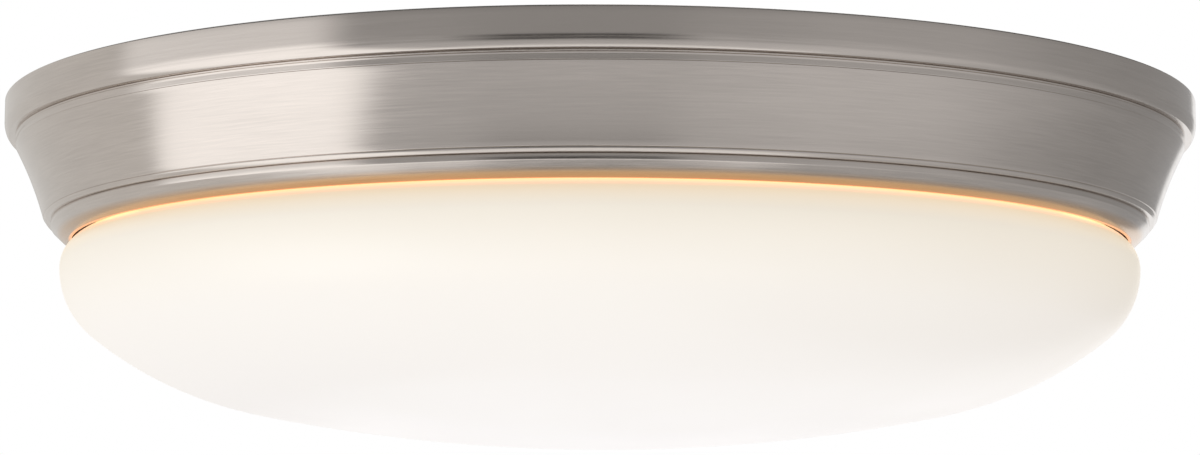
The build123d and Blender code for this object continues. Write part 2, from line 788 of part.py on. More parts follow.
def glass_bowl():
    """The opal bowl: neck, flare, bulge and one shallow closing curve, of even wall."""
    bulge_centre = (glass_widest_radius - glass_top_bulge_radius, glass_widest_z)
    side_centre = (glass_widest_radius - glass_side_radius, glass_widest_z)
    side_end = on_circle(side_centre, glass_side_radius, -glass_side_turn)
    step = glass_side_radius - glass_shoulder_radius
    shoulder_centre = on_circle(side_centre, step, -glass_side_turn)
    shoulder_end = on_circle(shoulder_centre, glass_shoulder_radius, -glass_shoulder_turn)
    turn = math.radians(glass_shoulder_turn)
    cap_radius = shoulder_end[0] / math.cos(turn)
    cap_centre = (0.0, shoulder_end[1] + cap_radius * math.sin(turn))

    flare_centre = (glass_neck_radius + glass_flare_radius, glass_flare_z)
    across = (flare_centre[0] - bulge_centre[0], flare_centre[1] - bulge_centre[1])
    flare_angle = math.degrees(math.atan2(across[1], across[0]))
    shift = math.hypot(*across) - glass_flare_radius - glass_top_bulge_radius
    print("glass flare meets its bulge within", round(abs(shift), 3), "mm")
    print("glass pole at", round(cap_centre[1] - cap_radius, 2), "cap radius", round(cap_radius, 1))

    def side(inset):
        """The section's edges from the neck to the pole, at a distance inside the outer skin."""
        neck = glass_neck_radius - inset
        flare = glass_flare_radius + inset
        bulge_point = on_circle(bulge_centre, glass_top_bulge_radius - inset, flare_angle)
        flare_middle = on_circle(flare_centre, flare, (flare_angle + 180 + 180) / 2)
        return [
            ThreePointArc((neck, glass_flare_z), flare_middle, bulge_point),
            section_arc(bulge_centre, glass_top_bulge_radius - inset, flare_angle, 0),
            section_arc(side_centre, glass_side_radius - inset, 0, -glass_side_turn),
            section_arc(shoulder_centre, glass_shoulder_radius - inset,
                        -glass_side_turn, -glass_shoulder_turn),
            section_arc(cap_centre, cap_radius - inset, -glass_shoulder_turn, -90),
        ]

    neck_inner = glass_neck_radius - glass_wall
    rim_low = glass_rim_z - glass_rim_depth
    pole = cap_centre[1] - cap_radius
    edges = side(0) + side(glass_wall) + [
        Line((0, pole), (0, pole + glass_wall)),
        Line((neck_inner, glass_flare_z), (neck_inner, glass_rim_z - 0.8)),
        Line((neck_inner, glass_rim_z - 0.8), (neck_inner + 0.8, glass_rim_z)),
        Line((neck_inner + 0.8, glass_rim_z), (glass_rim_radius - 0.8, glass_rim_z)),
        Line((glass_rim_radius - 0.8, glass_rim_z), (glass_rim_radius, glass_rim_z - 0.8)),
        Line((glass_rim_radius, glass_rim_z - 0.8), (glass_rim_radius, rim_low + 0.7)),
        Line((glass_rim_radius, rim_low + 0.7), (glass_neck_radius, rim_low)),
        Line((glass_neck_radius, rim_low), (glass_neck_radius, glass_flare_z)),
    ]
    return spun(edges)


# ---------------------------------------------------------------- all nodes
def nodes():
    first_lug = lug_angles()[0]
    pieces = {
        "trim_ring": trim_ring(),
        "base_plate": base_plate(),
        "ring_rivets": ring_rivets(),
        "crossbar": crossbar(),
        "crossbar_studs": crossbar_studs(),
        "stud_lock_nuts": stud_lock_nuts(),
        "cap_nuts": cap_nuts(),
        "ground_screw": ground_screw(),
        "wire_bushing": wire_bushing(),
        "terminal_block": terminal_block(),
        "terminal_screw": terminal_screw(),
        "live_lead": input_lead(outer=False),
        "neutral_lead": input_lead(outer=True),
        "positive_lead": output_lead(1),
        "negative_lead": output_lead(-1),
        "lead_grommet": lead_grommet(),
        "driver_case": driver_case(),
        "driver_lid": driver_lid(),
        "driver_board": driver_board(),
        "driver_transformer": driver_transformer(),
        "driver_capacitors": driver_capacitors(),
        "driver_screws": driver_screws(),
        "tray_standoffs": tray_standoffs(),
        "tray_screws": tray_screws(),
        "led_tray": led_tray(),
        "led_board": led_board(),
        "led_chips": led_chips(),
        "board_screws": board_screws(),
        "board_connector": board_connector(),
        "bracket_rivets": bracket_rivets(),
        "hold_down_springs": around(hold_down_spring(), lug_count, first_lug),
        "spring_rivets": around(spring_rivet(), lug_count, first_lug),
        "glass_carrier_ring": glass_carrier_ring(),
        "glass_clips": around(glass_clip(), lug_count, first_lug + 60),
        "clip_rivets": around(clip_rivet(), lug_count, first_lug + 60),
        "glass_gasket": glass_gasket(),
        "glass_bowl": glass_bowl(),
    }
    for number, bracket in enumerate(around(lug_bracket(), lug_count, first_lug), start=1):
        pieces["lug_bracket_" + str(number)] = bracket
    return pieces


os.makedirs("parts", exist_ok=True)
for name, piece in nodes().items():
    solids = piece if isinstance(piece, list) else [piece]
    export_step(Compound(children=solids) if len(solids) > 1 else solids[0],
                os.path.join("parts", name + ".step"))
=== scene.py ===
import math

import bmesh
import bpy
from bpy.props import FloatProperty, FloatVectorProperty, IntProperty, PointerProperty
from mathutils import Matrix, Vector


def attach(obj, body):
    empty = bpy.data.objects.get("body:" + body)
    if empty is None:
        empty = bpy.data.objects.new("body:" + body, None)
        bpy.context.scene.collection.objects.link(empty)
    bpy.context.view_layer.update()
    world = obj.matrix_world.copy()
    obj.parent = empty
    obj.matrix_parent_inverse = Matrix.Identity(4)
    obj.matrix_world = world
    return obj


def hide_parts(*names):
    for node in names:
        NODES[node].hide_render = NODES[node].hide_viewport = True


bl_info = {
    "name": "Flush mount ceiling light",
    "version": (1, 0, 0),
    "blender": (4, 5, 0),
    "location": "3D View > Sidebar > Ceiling Light",
    "description": "Dresses the frame of a flush mount ceiling light with its finished pieces",
    "category": "Object",
}

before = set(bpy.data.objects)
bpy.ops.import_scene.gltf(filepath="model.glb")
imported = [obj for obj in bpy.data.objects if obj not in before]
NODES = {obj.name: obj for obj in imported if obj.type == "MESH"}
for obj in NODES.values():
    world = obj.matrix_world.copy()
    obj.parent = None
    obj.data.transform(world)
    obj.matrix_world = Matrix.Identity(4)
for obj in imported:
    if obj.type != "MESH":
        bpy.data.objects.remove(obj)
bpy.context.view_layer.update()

MM = 0.001
FULL_TURN = 2.0 * math.pi
SAME_POINT = 1e-6

# The light's own sizes are in millimetres, as (radius, height) in a section or as (x, y, z)
# elsewhere, with the ceiling plane at height zero and the light hanging below it. Positions
# in a finish and the sizes of the studio are in metres.


# ---------------------------------------------------------------- shader building
class Value:
    """A socket in a shader. An expression on it adds its Math nodes."""

    def __init__(self, finish, socket):
        self.finish = finish
        self.socket = socket

    def math(self, operation, *values):
        inputs = dict(enumerate(values))
        return self.finish.node("ShaderNodeMath", {"operation": operation}, inputs)

    def __add__(self, other):
        return self.math("ADD", self, other)

    def __radd__(self, other):
        return self.math("ADD", other, self)

    def __sub__(self, other):
        return self.math("SUBTRACT", self, other)

    def __rsub__(self, other):
        return self.math("SUBTRACT", other, self)

    def __mul__(self, other):
        return self.math("MULTIPLY", self, other)

    def __rmul__(self, other):
        return self.math("MULTIPLY", other, self)

    def __truediv__(self, other):
        return self.math("DIVIDE", self, other)

    def __rtruediv__(self, other):
        return self.math("DIVIDE", other, self)

    def root(self):
        return self.math("SQRT", self)

    def sine(self):
        return self.math("SINE", self)

    def size(self):
        return self.math("ABSOLUTE", self)

    def most(self, other):
        return self.math("MAXIMUM", self, other)

    def turn(self, other):
        """The angle in radians whose tangent is this value over another."""
        return self.math("ARCTAN2", self, other)


class Finish:
    """A material or world whose nodes are added one by one."""

    def __init__(self, owner):
        self.owner = owner
        owner.use_nodes = True
        self.tree = owner.node_tree
        self.tree.nodes.clear()

    def node(self, kind, settings=None, inputs=None, output=0):
        """Adds a node with its settings and its sockets' values or links."""
        node = self.tree.nodes.new(kind)
        for name, value in (settings or {}).items():
            if name == "stops":
                set_stops(node.color_ramp, value)
            else:
                setattr(node, name, value)
        for name, value in (inputs or {}).items():
            socket = node.inputs[name]
            if isinstance(value, Value):
                self.tree.links.new(value.socket, socket)
            else:
                socket.default_value = value
        return Value(self, node.outputs[output]) if len(node.outputs) else node

    def point(self):
        """The point on the surface, in the light's own frame."""
        return self.node("ShaderNodeTexCoord", output="Object")

    def split(self, vector):
        """A vector's x, y and z."""
        outputs = self.node("ShaderNodeSeparateXYZ", inputs={0: vector}).socket.node.outputs
        return [Value(self, socket) for socket in outputs]

    def vector(self, x, y, z):
        return self.node("ShaderNodeCombineXYZ", inputs={0: x, 1: y, 2: z})

    def scaled(self, vector, factors):
        settings = {"operation": "MULTIPLY"}
        return self.node("ShaderNodeVectorMath", settings, {0: vector, 1: factors})

    def noise(self, vector, scale, detail, roughness):
        inputs = {"Vector": vector, "Scale": scale, "Detail": detail, "Roughness": roughness}
        return self.node("ShaderNodeTexNoise", {"noise_dimensions": "3D"}, inputs)

    def ramp(self, factor, stops):
        return self.node("ShaderNodeValToRGB", {"stops": stops}, {0: factor})

    def levels(self, value, low, high, to_low=0.0, to_high=1.0, smooth=True):
        """Maps a number's span onto another, held at both ends."""
        settings = {"interpolation_type": "SMOOTHSTEP" if smooth else "LINEAR", "clamp": True}
        inputs = {"Value": value, "From Min": low, "From Max": high,
                  "To Min": to_low, "To Max": to_high}
        return self.node("ShaderNodeMapRange", settings, inputs)

    def window(self, value, start, full, fading, end):
        """1 between two soft edges of a number, and 0 outside them."""
        return self.levels(value, start, full) * (1.0 - self.levels(value, fading, end))

    def mix(self, factor, first, second, blend="MIX"):
        """Two colours mixed; a factor of 1 gives the second."""
        settings = {"data_type": "RGBA", "blend_type": blend}
        return self.node("ShaderNodeMix", settings, {0: factor, 6: first, 7: second}, 2)

    def bump(self, height, distance, strength):
        inputs = {"Height": height, "Distance": distance, "Strength": strength}
        return self.node("ShaderNodeBump", inputs=inputs)

    def seen(self):
        """1 for camera, glossy and transmission rays, and 0 for the rest."""
        path = self.node("ShaderNodeLightPath").socket.node.outputs
        camera = Value(self, path["Is Camera Ray"])
        glossy = Value(self, path["Is Glossy Ray"])
        return camera.most(glossy).most(Value(self, path["Is Transmission Ray"]))

    def surface(self, **sockets):
        """Ends the material in one Principled shader; socket names have _ for a space."""
        inputs = {name.replace("_", " "): value for name, value in sockets.items()}
        return self.end(self.node("ShaderNodeBsdfPrincipled", inputs=inputs))

    def end(self, shader, output="ShaderNodeOutputMaterial"):
        """Ends the material or world in a shader and gives it back."""
        self.node(output, inputs={"Surface": shader})
        return self.owner


def set_stops(ramp, stops):
    """Gives a ramp its stops, each a position and a colour."""
    while len(ramp.elements) < len(stops):
        ramp.elements.new(0.5)
    for element, (position, colour) in zip(ramp.elements, stops):
        element.position = position
        element.color = colour


def new_finish(name):
    return Finish(bpy.data.materials.new(name))


def rgba(colour):
    """A colour of three numbers, or a grey of one, with full alpha."""
    values = tuple(colour) if hasattr(colour, "__len__") else (colour,) * 3
    return values[:3] + (1.0,)


def shade(colour, factor):
    """A colour made darker or lighter."""
    return rgba([min(1.0, c * factor) for c in colour[:3]])


# ---------------------------------------------------------------- mesh building
def arc(centre, radius, start, end, steps):
    """Points of a section's arc, between two angles in degrees from the outward radius."""
    points = []
    for i in range(steps + 1):
        a = math.radians(start + (end - start) * i / steps)
        points.append((centre[0] + radius * math.cos(a), centre[1] + radius * math.sin(a)))
    return points


def on_circle(centre, radius, angle):
    """The point of a section's circle at an angle in degrees."""
    a = math.radians(angle)
    return (centre[0] + radius * math.cos(a), centre[1] + radius * math.sin(a))


def through(first, middle, last, steps):
    """Points of the arc through three points."""
    ax, ay = first
    bx, by = middle
    cx, cy = last
    d = 2.0 * (ax * (by - cy) + bx * (cy - ay) + cx * (ay - by))
    a2, b2, c2 = ax * ax + ay * ay, bx * bx + by * by, cx * cx + cy * cy
    centre = ((a2 * (by - cy) + b2 * (cy - ay) + c2 * (ay - by)) / d,
              (a2 * (cx - bx) + b2 * (ax - cx) + c2 * (bx - ax)) / d)
    angles = [math.degrees(math.atan2(p[1] - centre[1], p[0] - centre[0]))
              for p in (first, middle, last)]
    start = angles[0]
    sweep = (angles[2] - start + 180.0) % 360.0 - 180.0
    return arc(centre, math.dist(centre, first), start, start + sweep, steps)


def joined(*runs):
    """One list of points from several runs, without repeats where they meet."""
    points = []
    for run in runs:
        for point in run:
            if not points or math.dist(points[-1], point) > SAME_POINT:
                points.append(point)
    if math.dist(points[0], points[-1]) < SAME_POINT:
        points.pop()
    return points


def softened(points, radius, steps=3, least_turn=14.0, most_turn=125.0):
    """A closed section with its corners rounded, but for slight bends and the tips of grooves."""
    result = []
    count = len(points)
    for i, corner in enumerate(points):
        before, after = Vector(points[i - 1]), Vector(points[(i + 1) % count])
        here = Vector(corner)
        a, b = before - here, after - here
        turn = 180.0 - math.degrees(a.angle(b))
        if not least_turn < turn < most_turn:
            result.append(corner)
            continue
        half = math.radians(turn) / 2.0
        reach = min(radius * math.tan(half), 0.45 * a.length, 0.45 * b.length)
        start, end = here + a.normalized() * reach, here + b.normalized() * reach
        for k in range(steps + 1):
            t = k / steps
            curve = start * (1 - t) ** 2 + here * (2 * t * (1 - t)) + end * t ** 2
            result.append((curve.x, curve.y))
    return result


def placed(x, y, z, turn=0.0, tip=0.0):
    """Where a small piece stands: its foot, its turn about upright and its tip towards +X."""
    spot = Matrix.Translation((x * MM, y * MM, z * MM))
    heading = Matrix.Rotation(math.radians(turn), 4, "Z")
    return spot @ heading @ Matrix.Rotation(math.radians(tip), 4, "Y")


def new_vert(bm, place, x, y, z):
    return bm.verts.new(place @ Vector((x * MM, y * MM, z * MM)))


def hexagon_reach(flats, angle):
    """From a hexagon's centre to its side at an angle in radians; a corner lies at zero."""
    sixth = FULL_TURN / 6.0
    return flats / 2.0 / math.cos(angle % sixth - sixth / 2.0)


def spin(bm, section, segments, skip=(), place=Matrix(), flats=0.0):
    """Spins a closed section about a place's axis; skip leaves out the bands after those points.

    With flats, the piece is turned from a hexagonal bar of that width.
    """
    rings = []
    for radius, z in section:
        if radius < SAME_POINT:
            rings.append([new_vert(bm, place, 0.0, 0.0, z)])
            continue
        ring = []
        for k in range(segments):
            a = FULL_TURN * k / segments
            reach = min(radius, hexagon_reach(flats, a)) if flats else radius
            ring.append(new_vert(bm, place, reach * math.cos(a), reach * math.sin(a), z))
        rings.append(ring)
    for i, ring in enumerate(rings):
        if i in skip:
            continue
        other = rings[(i + 1) % len(rings)]
        for k in range(segments):
            j = (k + 1) % segments
            corners = []
            for vert in (ring[k % len(ring)], other[k % len(other)],
                         other[j % len(other)], ring[j % len(ring)]):
                if vert not in corners:
                    corners.append(vert)
            if len(corners) > 2:
                bm.faces.new(corners)
    return rings


def circle_of_verts(bm, x, y, z, radius, segments):
    verts = []
    for k in range(segments):
        a = FULL_TURN * k / segments
        verts.append(bm.verts.new(((x + radius * math.cos(a)) * MM,
                                   (y + radius * math.sin(a)) * MM, z * MM)))
    return verts


def loop_edges(bm, verts):
    """The edges of a closed loop, made where they are missing."""
    edges = []
    for a, b in zip(verts, verts[1:] + verts[:1]):
        edges.append(bm.edges.get((a, b)) or bm.edges.new((a, b)))
    return edges


def bridge(bm, first, second):
    """Quads between two loops of equal count."""
    count = len(first)
    for k in range(count):
        j = (k + 1) % count
        bm.faces.new((first[k], second[k], second[j], first[j]))


def drilled_sheet(bm, tops, lows, z_top, z_low, holes, radius, segments=24):
    """Fills both faces of a flat sheet between their outlines, with round holes through it."""
    tops, lows = list(tops), list(lows)
    for x, y in holes:
        tops.append(circle_of_verts(bm, x, y, z_top, radius, segments))
        lows.append(circle_of_verts(bm, x, y, z_low, radius, segments))
        bridge(bm, tops[-1], lows[-1])
    for outlines in (tops, lows):
        edges = []
        for outline in outlines:
            edges += loop_edges(bm, outline)
        bmesh.ops.triangle_fill(bm, use_beauty=True, edges=edges)


def round_places(radius, count, first):
    """Places spread evenly round the axis, the first at an angle in degrees."""
    angles = [math.radians(first + 360.0 * i / count) for i in range(count)]
    return [(radius * math.cos(a), radius * math.sin(a)) for a in angles]


def turned(bm, section, place, segments=32, flats=0.0):
    """Spins an open section about a small piece's own axis."""
    return spin(bm, section, segments, [len(section) - 1], place, flats)


def recessed(bm, rim, outline, place, face, floor, taper=0.7):
    """Fills a face inside its rim, with a tapered recess of some outline sunk into it."""
    high = [new_vert(bm, place, x, y, face) for x, y in outline]
    low = [new_vert(bm, place, x * taper, y * taper, floor) for x, y in outline]
    edges = loop_edges(bm, rim) + loop_edges(bm, high)
    bmesh.ops.triangle_fill(bm, use_beauty=True, edges=edges)
    bridge(bm, high, low)
    bm.faces.new(low)


def stacked(bm, place, sizes):
    """Rectangles of (half width, half length, height) joined one to the next and closed."""
    loops = []
    for half_x, half_y, z in sizes:
        corners = ((half_x, half_y), (-half_x, half_y), (-half_x, -half_y), (half_x, -half_y))
        loops.append([new_vert(bm, place, x, y, z) for x, y in corners])
    for first, second in zip(loops, loops[1:]):
        bridge(bm, first, second)
    bm.faces.new(loops[0])
    bm.faces.new(loops[-1])


def thread(radius, start, end, pitch, depth=0.3):
    """The outline of a thread between two heights, from root to crest and back."""
    turns = round((end - start) / pitch)
    step = (end - start) / turns
    points = [(radius - depth, start)]
    for i in range(turns):
        points.append((radius, start + step * (i + 0.5)))
        points.append((radius - depth, start + step * (i + 1.0)))
    return points


def add_piece(name, bm, finish, body, replaces=(), sharp=35.0):
    """Makes a piece of the light from a mesh and hangs it on its body."""
    bmesh.ops.recalc_face_normals(bm, faces=bm.faces)
    mesh = bpy.data.meshes.new(name)
    bm.to_mesh(mesh)
    bm.free()
    mesh.materials.append(finish)
    mesh.shade_smooth()
    mesh.set_sharp_from_angle(angle=math.radians(sharp))
    piece = bpy.data.objects.new(name, mesh)
    bpy.context.scene.collection.objects.link(piece)
    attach(piece, body)
    if replaces:
        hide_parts(*replaces)


def dress(finish, *names):
    """Gives CAD nodes a finish in every material slot they have."""
    for name in names:
        mesh = NODES[name].data
        if not mesh.materials:
            mesh.materials.append(finish)
        for i in range(len(mesh.materials)):
            mesh.materials[i] = finish


# ---------------------------------------------------------------- settings
class CeilingLightSettings(bpy.types.PropertyGroup):
    """The finishes of the light and of the studio."""

    ring_colour: FloatVectorProperty(
        name="Ring colour", description="Colour of the brushed nickel ring",
        default=(0.64, 0.585, 0.542), subtype="COLOR", min=0.0, max=1.0)
    ring_roughness: FloatProperty(
        name="Ring roughness", description="How far the brushing spreads a reflection",
        default=0.19, subtype="FACTOR", min=0.0, max=1.0)
    ring_segments: IntProperty(
        name="Ring segments", description="Steps round the spun ring", default=480, min=24)
    glass_colour: FloatVectorProperty(
        name="Glass colour", description="Colour of the opal glass with the light off",
        default=(0.66, 0.64, 0.60), subtype="COLOR", min=0.0, max=1.0)
    glow_strength: FloatProperty(
        name="Glow", description="How bright the lit glass is", default=1.0, min=0.0)
    glass_segments: IntProperty(
        name="Glass segments", description="Steps round the glass bowl", default=320, min=24)
    camera_distance: FloatProperty(
        name="Camera distance", description="From the camera to the point it looks at",
        default=0.9995, unit="LENGTH")
    lens: FloatProperty(
        name="Lens", description="Focal length of the camera", default=99.12, unit="CAMERA")
    background: FloatProperty(
        name="Background", description="Brightness of the backdrop, 1 is white",
        default=1.0, min=0.0)


# ---------------------------------------------------------------- finishes
# Depths below the ceiling between which the lip gets a painted reflection of the glass's warm
# light, and the tint of that painted reflection.
LIP_PAINTED_REFLECTION_FROM = 38.2
LIP_PAINTED_REFLECTION_FULL = 40.2
LIP_PAINTED_REFLECTION_TINT = (0.96, 0.72, 0.49, 1.0)
# The glow of the glass by depth, as a share of the way from its top to its foot.
GLOW_TOP = 26.0
GLOW_FOOT = 100.0
GLASS_GLOW = (
    (0.000, (0.26, 0.235, 0.20, 1.0)),
    (0.140, (0.34, 0.28, 0.20, 1.0)),
    (0.176, (0.70, 0.44, 0.22, 1.0)),
    (0.203, (1.50, 0.80, 0.36, 1.0)),
    (0.212, (1.10, 0.56, 0.33, 1.0)),
    (0.219, (0.74, 0.41, 0.24, 1.0)),
    (0.228, (0.49, 0.366, 0.205, 1.0)),
    (0.246, (0.45, 0.345, 0.21, 1.0)),
    (0.297, (0.33, 0.28, 0.205, 1.0)),
    (0.581, (0.33, 0.30, 0.275, 1.0)),
    (1.000, (0.30, 0.285, 0.295, 1.0)),
)


def brushed_nickel(settings):
    """Satin nickel, brushed round the ring: fine streaks that follow the turn of the lathe."""
    f = new_finish("brushed_nickel")
    x, y, z = f.split(f.point())
    radius = (x * x + y * y).root()
    around_x, around_y = x / radius, y / radius
    across = z + radius * 0.7

    def marks(shortness, fineness, detail, roughness):
        """Noise drawn out along the turn of the lathe, on level and upright faces alike."""
        place = f.vector(around_x * shortness, around_y * shortness, across * fineness)
        return f.noise(place, 1.0, detail, roughness)

    hair = marks(14.0, 4200.0, 3.0, 0.6)
    streak = marks(9.0, 1500.0, 2.0, 0.55)
    smudge = marks(5.0, 130.0, 3.0, 0.5)
    grain = hair * 0.5 + streak * 0.5
    tone = f.levels(grain + smudge * 0.5, 0.55, 0.95, smooth=False)
    base = f.mix(tone, shade(settings.ring_colour, 0.93), shade(settings.ring_colour, 1.05))
    # Painted reflection: near the lip the nickel's colour is tinted amber, standing for the lit
    # glass mirrored in it.
    painted_glass_reflection = f.levels(z * (-1.0 / MM), LIP_PAINTED_REFLECTION_FROM, LIP_PAINTED_REFLECTION_FULL)
    base = f.mix(painted_glass_reflection, base, f.mix(1.0, base, LIP_PAINTED_REFLECTION_TINT, "MULTIPLY"))
    rough = f.levels(grain + smudge * 0.7, 0.6, 1.1,
                     settings.ring_roughness - 0.04, settings.ring_roughness + 0.05, smooth=False)
    normal = f.bump(hair * 0.6 + streak * 0.4, 0.00002, 0.35)
    return f.surface(Base_Color=base, Metallic=1.0, Roughness=rough, Normal=normal,
                     Anisotropic=0.8, Anisotropic_Rotation=0.25)


def opal_glass(settings):
    """White opal glass lit from inside: warm under the lip, nearly white over the bowl."""
    f = new_finish("opal_glass")
    point = f.point()
    depth = f.split(point)[2] * (-1.0 / MM)
    glow = f.ramp(f.levels(depth, GLOW_TOP, GLOW_FOOT, smooth=False), GLASS_GLOW)
    cloud = f.noise(point, 18.0, 2.0, 0.5)
    wave = f.noise(point, 60.0, 1.0, 0.5)
    base = f.mix(cloud, shade(settings.glass_colour, 0.985), shade(settings.glass_colour, 1.01))
    rough = f.levels(cloud, 0.3, 0.7, 0.30, 0.36)
    return f.surface(Base_Color=base, Roughness=rough, Normal=f.bump(wave, 0.0004, 0.15),
                     Emission_Color=glow, Emission_Strength=settings.glow_strength,
                     IOR=1.5, Specular_IOR_Level=0.3)


def enamel(name, colour, roughness):
    """Stove enamel: a slight orange peel and faint marks."""
    f = new_finish(name)
    point = f.point()
    skin = f.noise(point, 260.0, 3.0, 0.55)
    marks = f.noise(point, 38.0, 4.0, 0.6)
    base = f.mix(f.levels(marks, 0.35, 0.7), shade(colour, 1.0), shade(colour, 0.94))
    rough = f.levels(marks, 0.3, 0.7, roughness - 0.05, roughness + 0.08)
    return f.surface(Base_Color=base, Roughness=rough, Normal=f.bump(skin, 0.0002, 0.35))


def sheet_metal(name, colour, roughness, grain=(30.0, 900.0, 900.0), tint=None):
    """Rolled or plated metal: fine lines, along x for a sheet, and faint stains."""
    f = new_finish(name)
    point = f.point()
    lines = f.noise(f.scaled(point, grain), 1.0, 3.0, 0.6)
    stains = f.noise(point, 55.0, 4.0, 0.65)
    light = f.mix(lines, shade(colour, 0.92), shade(colour, 1.05))
    base = f.mix(f.levels(stains, 0.45, 0.75, 0.0, 0.5), light, rgba(tint or shade(colour, 0.85)))
    rough = f.levels(stains + lines * 0.4, 0.4, 0.9, roughness - 0.06, roughness + 0.1)
    return f.surface(Base_Color=base, Metallic=1.0, Roughness=rough,
                     Normal=f.bump(lines, 0.00003, 0.4))


def moulded(name, colour, roughness):
    """Moulded plastic or rubber: a fine spark-eroded grain and a little shade variation."""
    f = new_finish(name)
    point = f.point()
    skin = f.noise(point, 1400.0, 2.0, 0.6)
    patch = f.noise(point, 70.0, 3.0, 0.5)
    base = f.mix(patch, shade(colour, 0.93), shade(colour, 1.05))
    rough = f.levels(skin + patch * 0.5, 0.5, 1.0, roughness - 0.06, roughness + 0.08)
    return f.surface(Base_Color=base, Roughness=rough, Normal=f.bump(skin, 0.00006, 0.4))


def phosphor(name):
    """The yellow cast lens of an LED chip, lit."""
    f = new_finish(name)
    grit = f.noise(f.point(), 2500.0, 3.0, 0.6)
    base = f.mix(grit, (0.95, 0.72, 0.22, 1.0), (1.0, 0.86, 0.42, 1.0))
    return f.surface(Base_Color=base, Roughness=0.4, Emission_Color=(1.0, 0.78, 0.46, 1.0),
                     Emission_Strength=2.0)


def board_mask(name, colour, track_colour):
    """Solder mask: round tracks show under it as slightly raised lines of another shade."""
    f = new_finish(name)
    point = f.point()
    x, y = f.split(point)[:2]
    radius = (x * x + y * y).root()
    tracks = f.levels((radius * 560.0).sine().size(), 0.90, 0.98)
    spots = f.noise(point, 300.0, 2.0, 0.5)
    base = f.mix(tracks * 0.5, rgba(colour), rgba(track_colour))
    base = f.mix(f.levels(spots, 0.4, 0.7, 0.0, 0.3), base, shade(colour, 0.95))
    return f.surface(Base_Color=base, Roughness=f.levels(spots, 0.3, 0.7, 0.3, 0.4),
                     Normal=f.bump(tracks, 0.00004, 0.5))


# ---------------------------------------------------------------- trim ring
RING_RADIUS = 178.0
RING_WALL = 1.0
RING_FLANGE_INNER = 166.0
RING_FLANGE_LEAST = 5.0
RING_CORNER = 0.22
EDGE_ROUNDING = 0.5
# Extra rings on the straight band, which keep its shading level.
BAND_HOLDS = (-2.0, -4.0)
BAND_DEPTH = 6.9
TAPER_MIDDLE = (177.955, -7.6)
TAPER_LOW = (177.8, -8.3)
TAPER_ANGLE = 9.0
BEAD_RADIUS = 4.5
BEAD_TURN = 42.2
BEAD_WALL = 1.4
BEAD_INNER_TURN = 42.0
STEP = ((174.69, -10.62), (174.47, -10.68), (174.68, -10.76), (174.67, -11.0))
FINE_CREASE = (174.46, -11.24)
NECK_FILLET = ((174.76, -11.38), (174.68, -11.55), (174.52, -11.85))
NECK_LOW = (174.52, -13.15)
NECK_CREASE = (174.42, -13.32)
PANEL_TOP = (174.6, -13.45)
PANEL_BOTTOM = (166.3, -34.0)
PANEL_HOLLOW = 0.61
PANEL_WALL = RING_WALL + 0.1
NECK_INNER = (173.2, -11.4)
LOW_BEAD_RADIUS = 0.55
LOW_BEAD_CENTRE = (165.42, -34.33)
LOW_BEAD_RISE = 25.0
LOW_BEAD_TURN = 33.0
LOW_BEAD_FOOT = (165.33, -35.38)
LOW_STEP = ((164.0, -35.4), (163.74, -35.47), (163.99, -35.57), (163.97, -36.55),
            (163.85, -37.1))
BEVEL_TOP = (163.66, -37.32)
BEVEL_MIDDLE = (161.9, -38.98)
BEVEL_LOW = (160.485, -40.16)
LIP_ROUND_RADIUS = 158.9
BEVEL_INNER_RUN = 0.876
BEVEL_INNER_RISE = 4.4
LIP_TIP_RADIUS = 159.5
LIP_OPENING_RADIUS = 157.8
LIP_Z = -41.1
LIP_HEM = 1.0
RIVET_CIRCLE = 169.0
RIVET_RADIUS = 1.6
RIVET_PLACES = round_places(RIVET_CIRCLE, 6, 30.0)


def ring_section():
    """The ring's closed section, from the flange's inner edge round the outside and back inside."""
    bead_centre = on_circle(TAPER_LOW, -BEAD_RADIUS, -TAPER_ANGLE)
    bead = arc(bead_centre, BEAD_RADIUS, -TAPER_ANGLE, -BEAD_TURN, 26)
    bead_inner = on_circle(bead_centre, BEAD_RADIUS - BEAD_WALL, -BEAD_INNER_TURN)
    neck = list(STEP) + [FINE_CREASE] + list(NECK_FILLET) + [NECK_LOW, NECK_CREASE]
    panel_middle = ((PANEL_TOP[0] + PANEL_BOTTOM[0]) / 2 - PANEL_HOLLOW,
                    (PANEL_TOP[1] + PANEL_BOTTOM[1]) / 2)
    panel = through(PANEL_TOP, panel_middle, PANEL_BOTTOM, 16)
    low_bead = arc(LOW_BEAD_CENTRE, LOW_BEAD_RADIUS, LOW_BEAD_RISE, -LOW_BEAD_TURN, 12)
    low_bead.append(LOW_BEAD_FOOT)
    bevel = [BEVEL_TOP] + through(BEVEL_MIDDLE, BEVEL_LOW, (LIP_ROUND_RADIUS, LIP_Z), 12)
    band = arc((RING_RADIUS - EDGE_ROUNDING, -EDGE_ROUNDING), EDGE_ROUNDING, 90.0, 0.0, 6)
    band += [(RING_RADIUS, z) for z in BAND_HOLDS]
    band += through((RING_RADIUS, -BAND_DEPTH), TAPER_MIDDLE, TAPER_LOW, 6)

    run, rise = BEVEL_INNER_RUN, BEVEL_INNER_RISE
    hem_z = LIP_Z + LIP_HEM
    inner_low = (LIP_TIP_RADIUS + run * LIP_HEM - RING_WALL * math.hypot(1.0, run), hem_z)
    inner_high = (inner_low[0] + run * rise, hem_z + rise)
    inner_panel = through(*[(radius - PANEL_WALL, z)
                            for radius, z in (PANEL_BOTTOM, panel_middle, PANEL_TOP)], 10)
    inner_radius = RING_RADIUS - RING_WALL
    return joined(
        [(RING_FLANGE_INNER, 0.0)], band, bead, neck, panel, low_bead, LOW_STEP, bevel,
        [(LIP_OPENING_RADIUS, LIP_Z), (LIP_OPENING_RADIUS, hem_z), inner_low, inner_high],
        inner_panel, [NECK_INNER, bead_inner, (inner_radius, -BAND_DEPTH),
                      (inner_radius, -RING_WALL), (RING_FLANGE_INNER, -RING_WALL)])


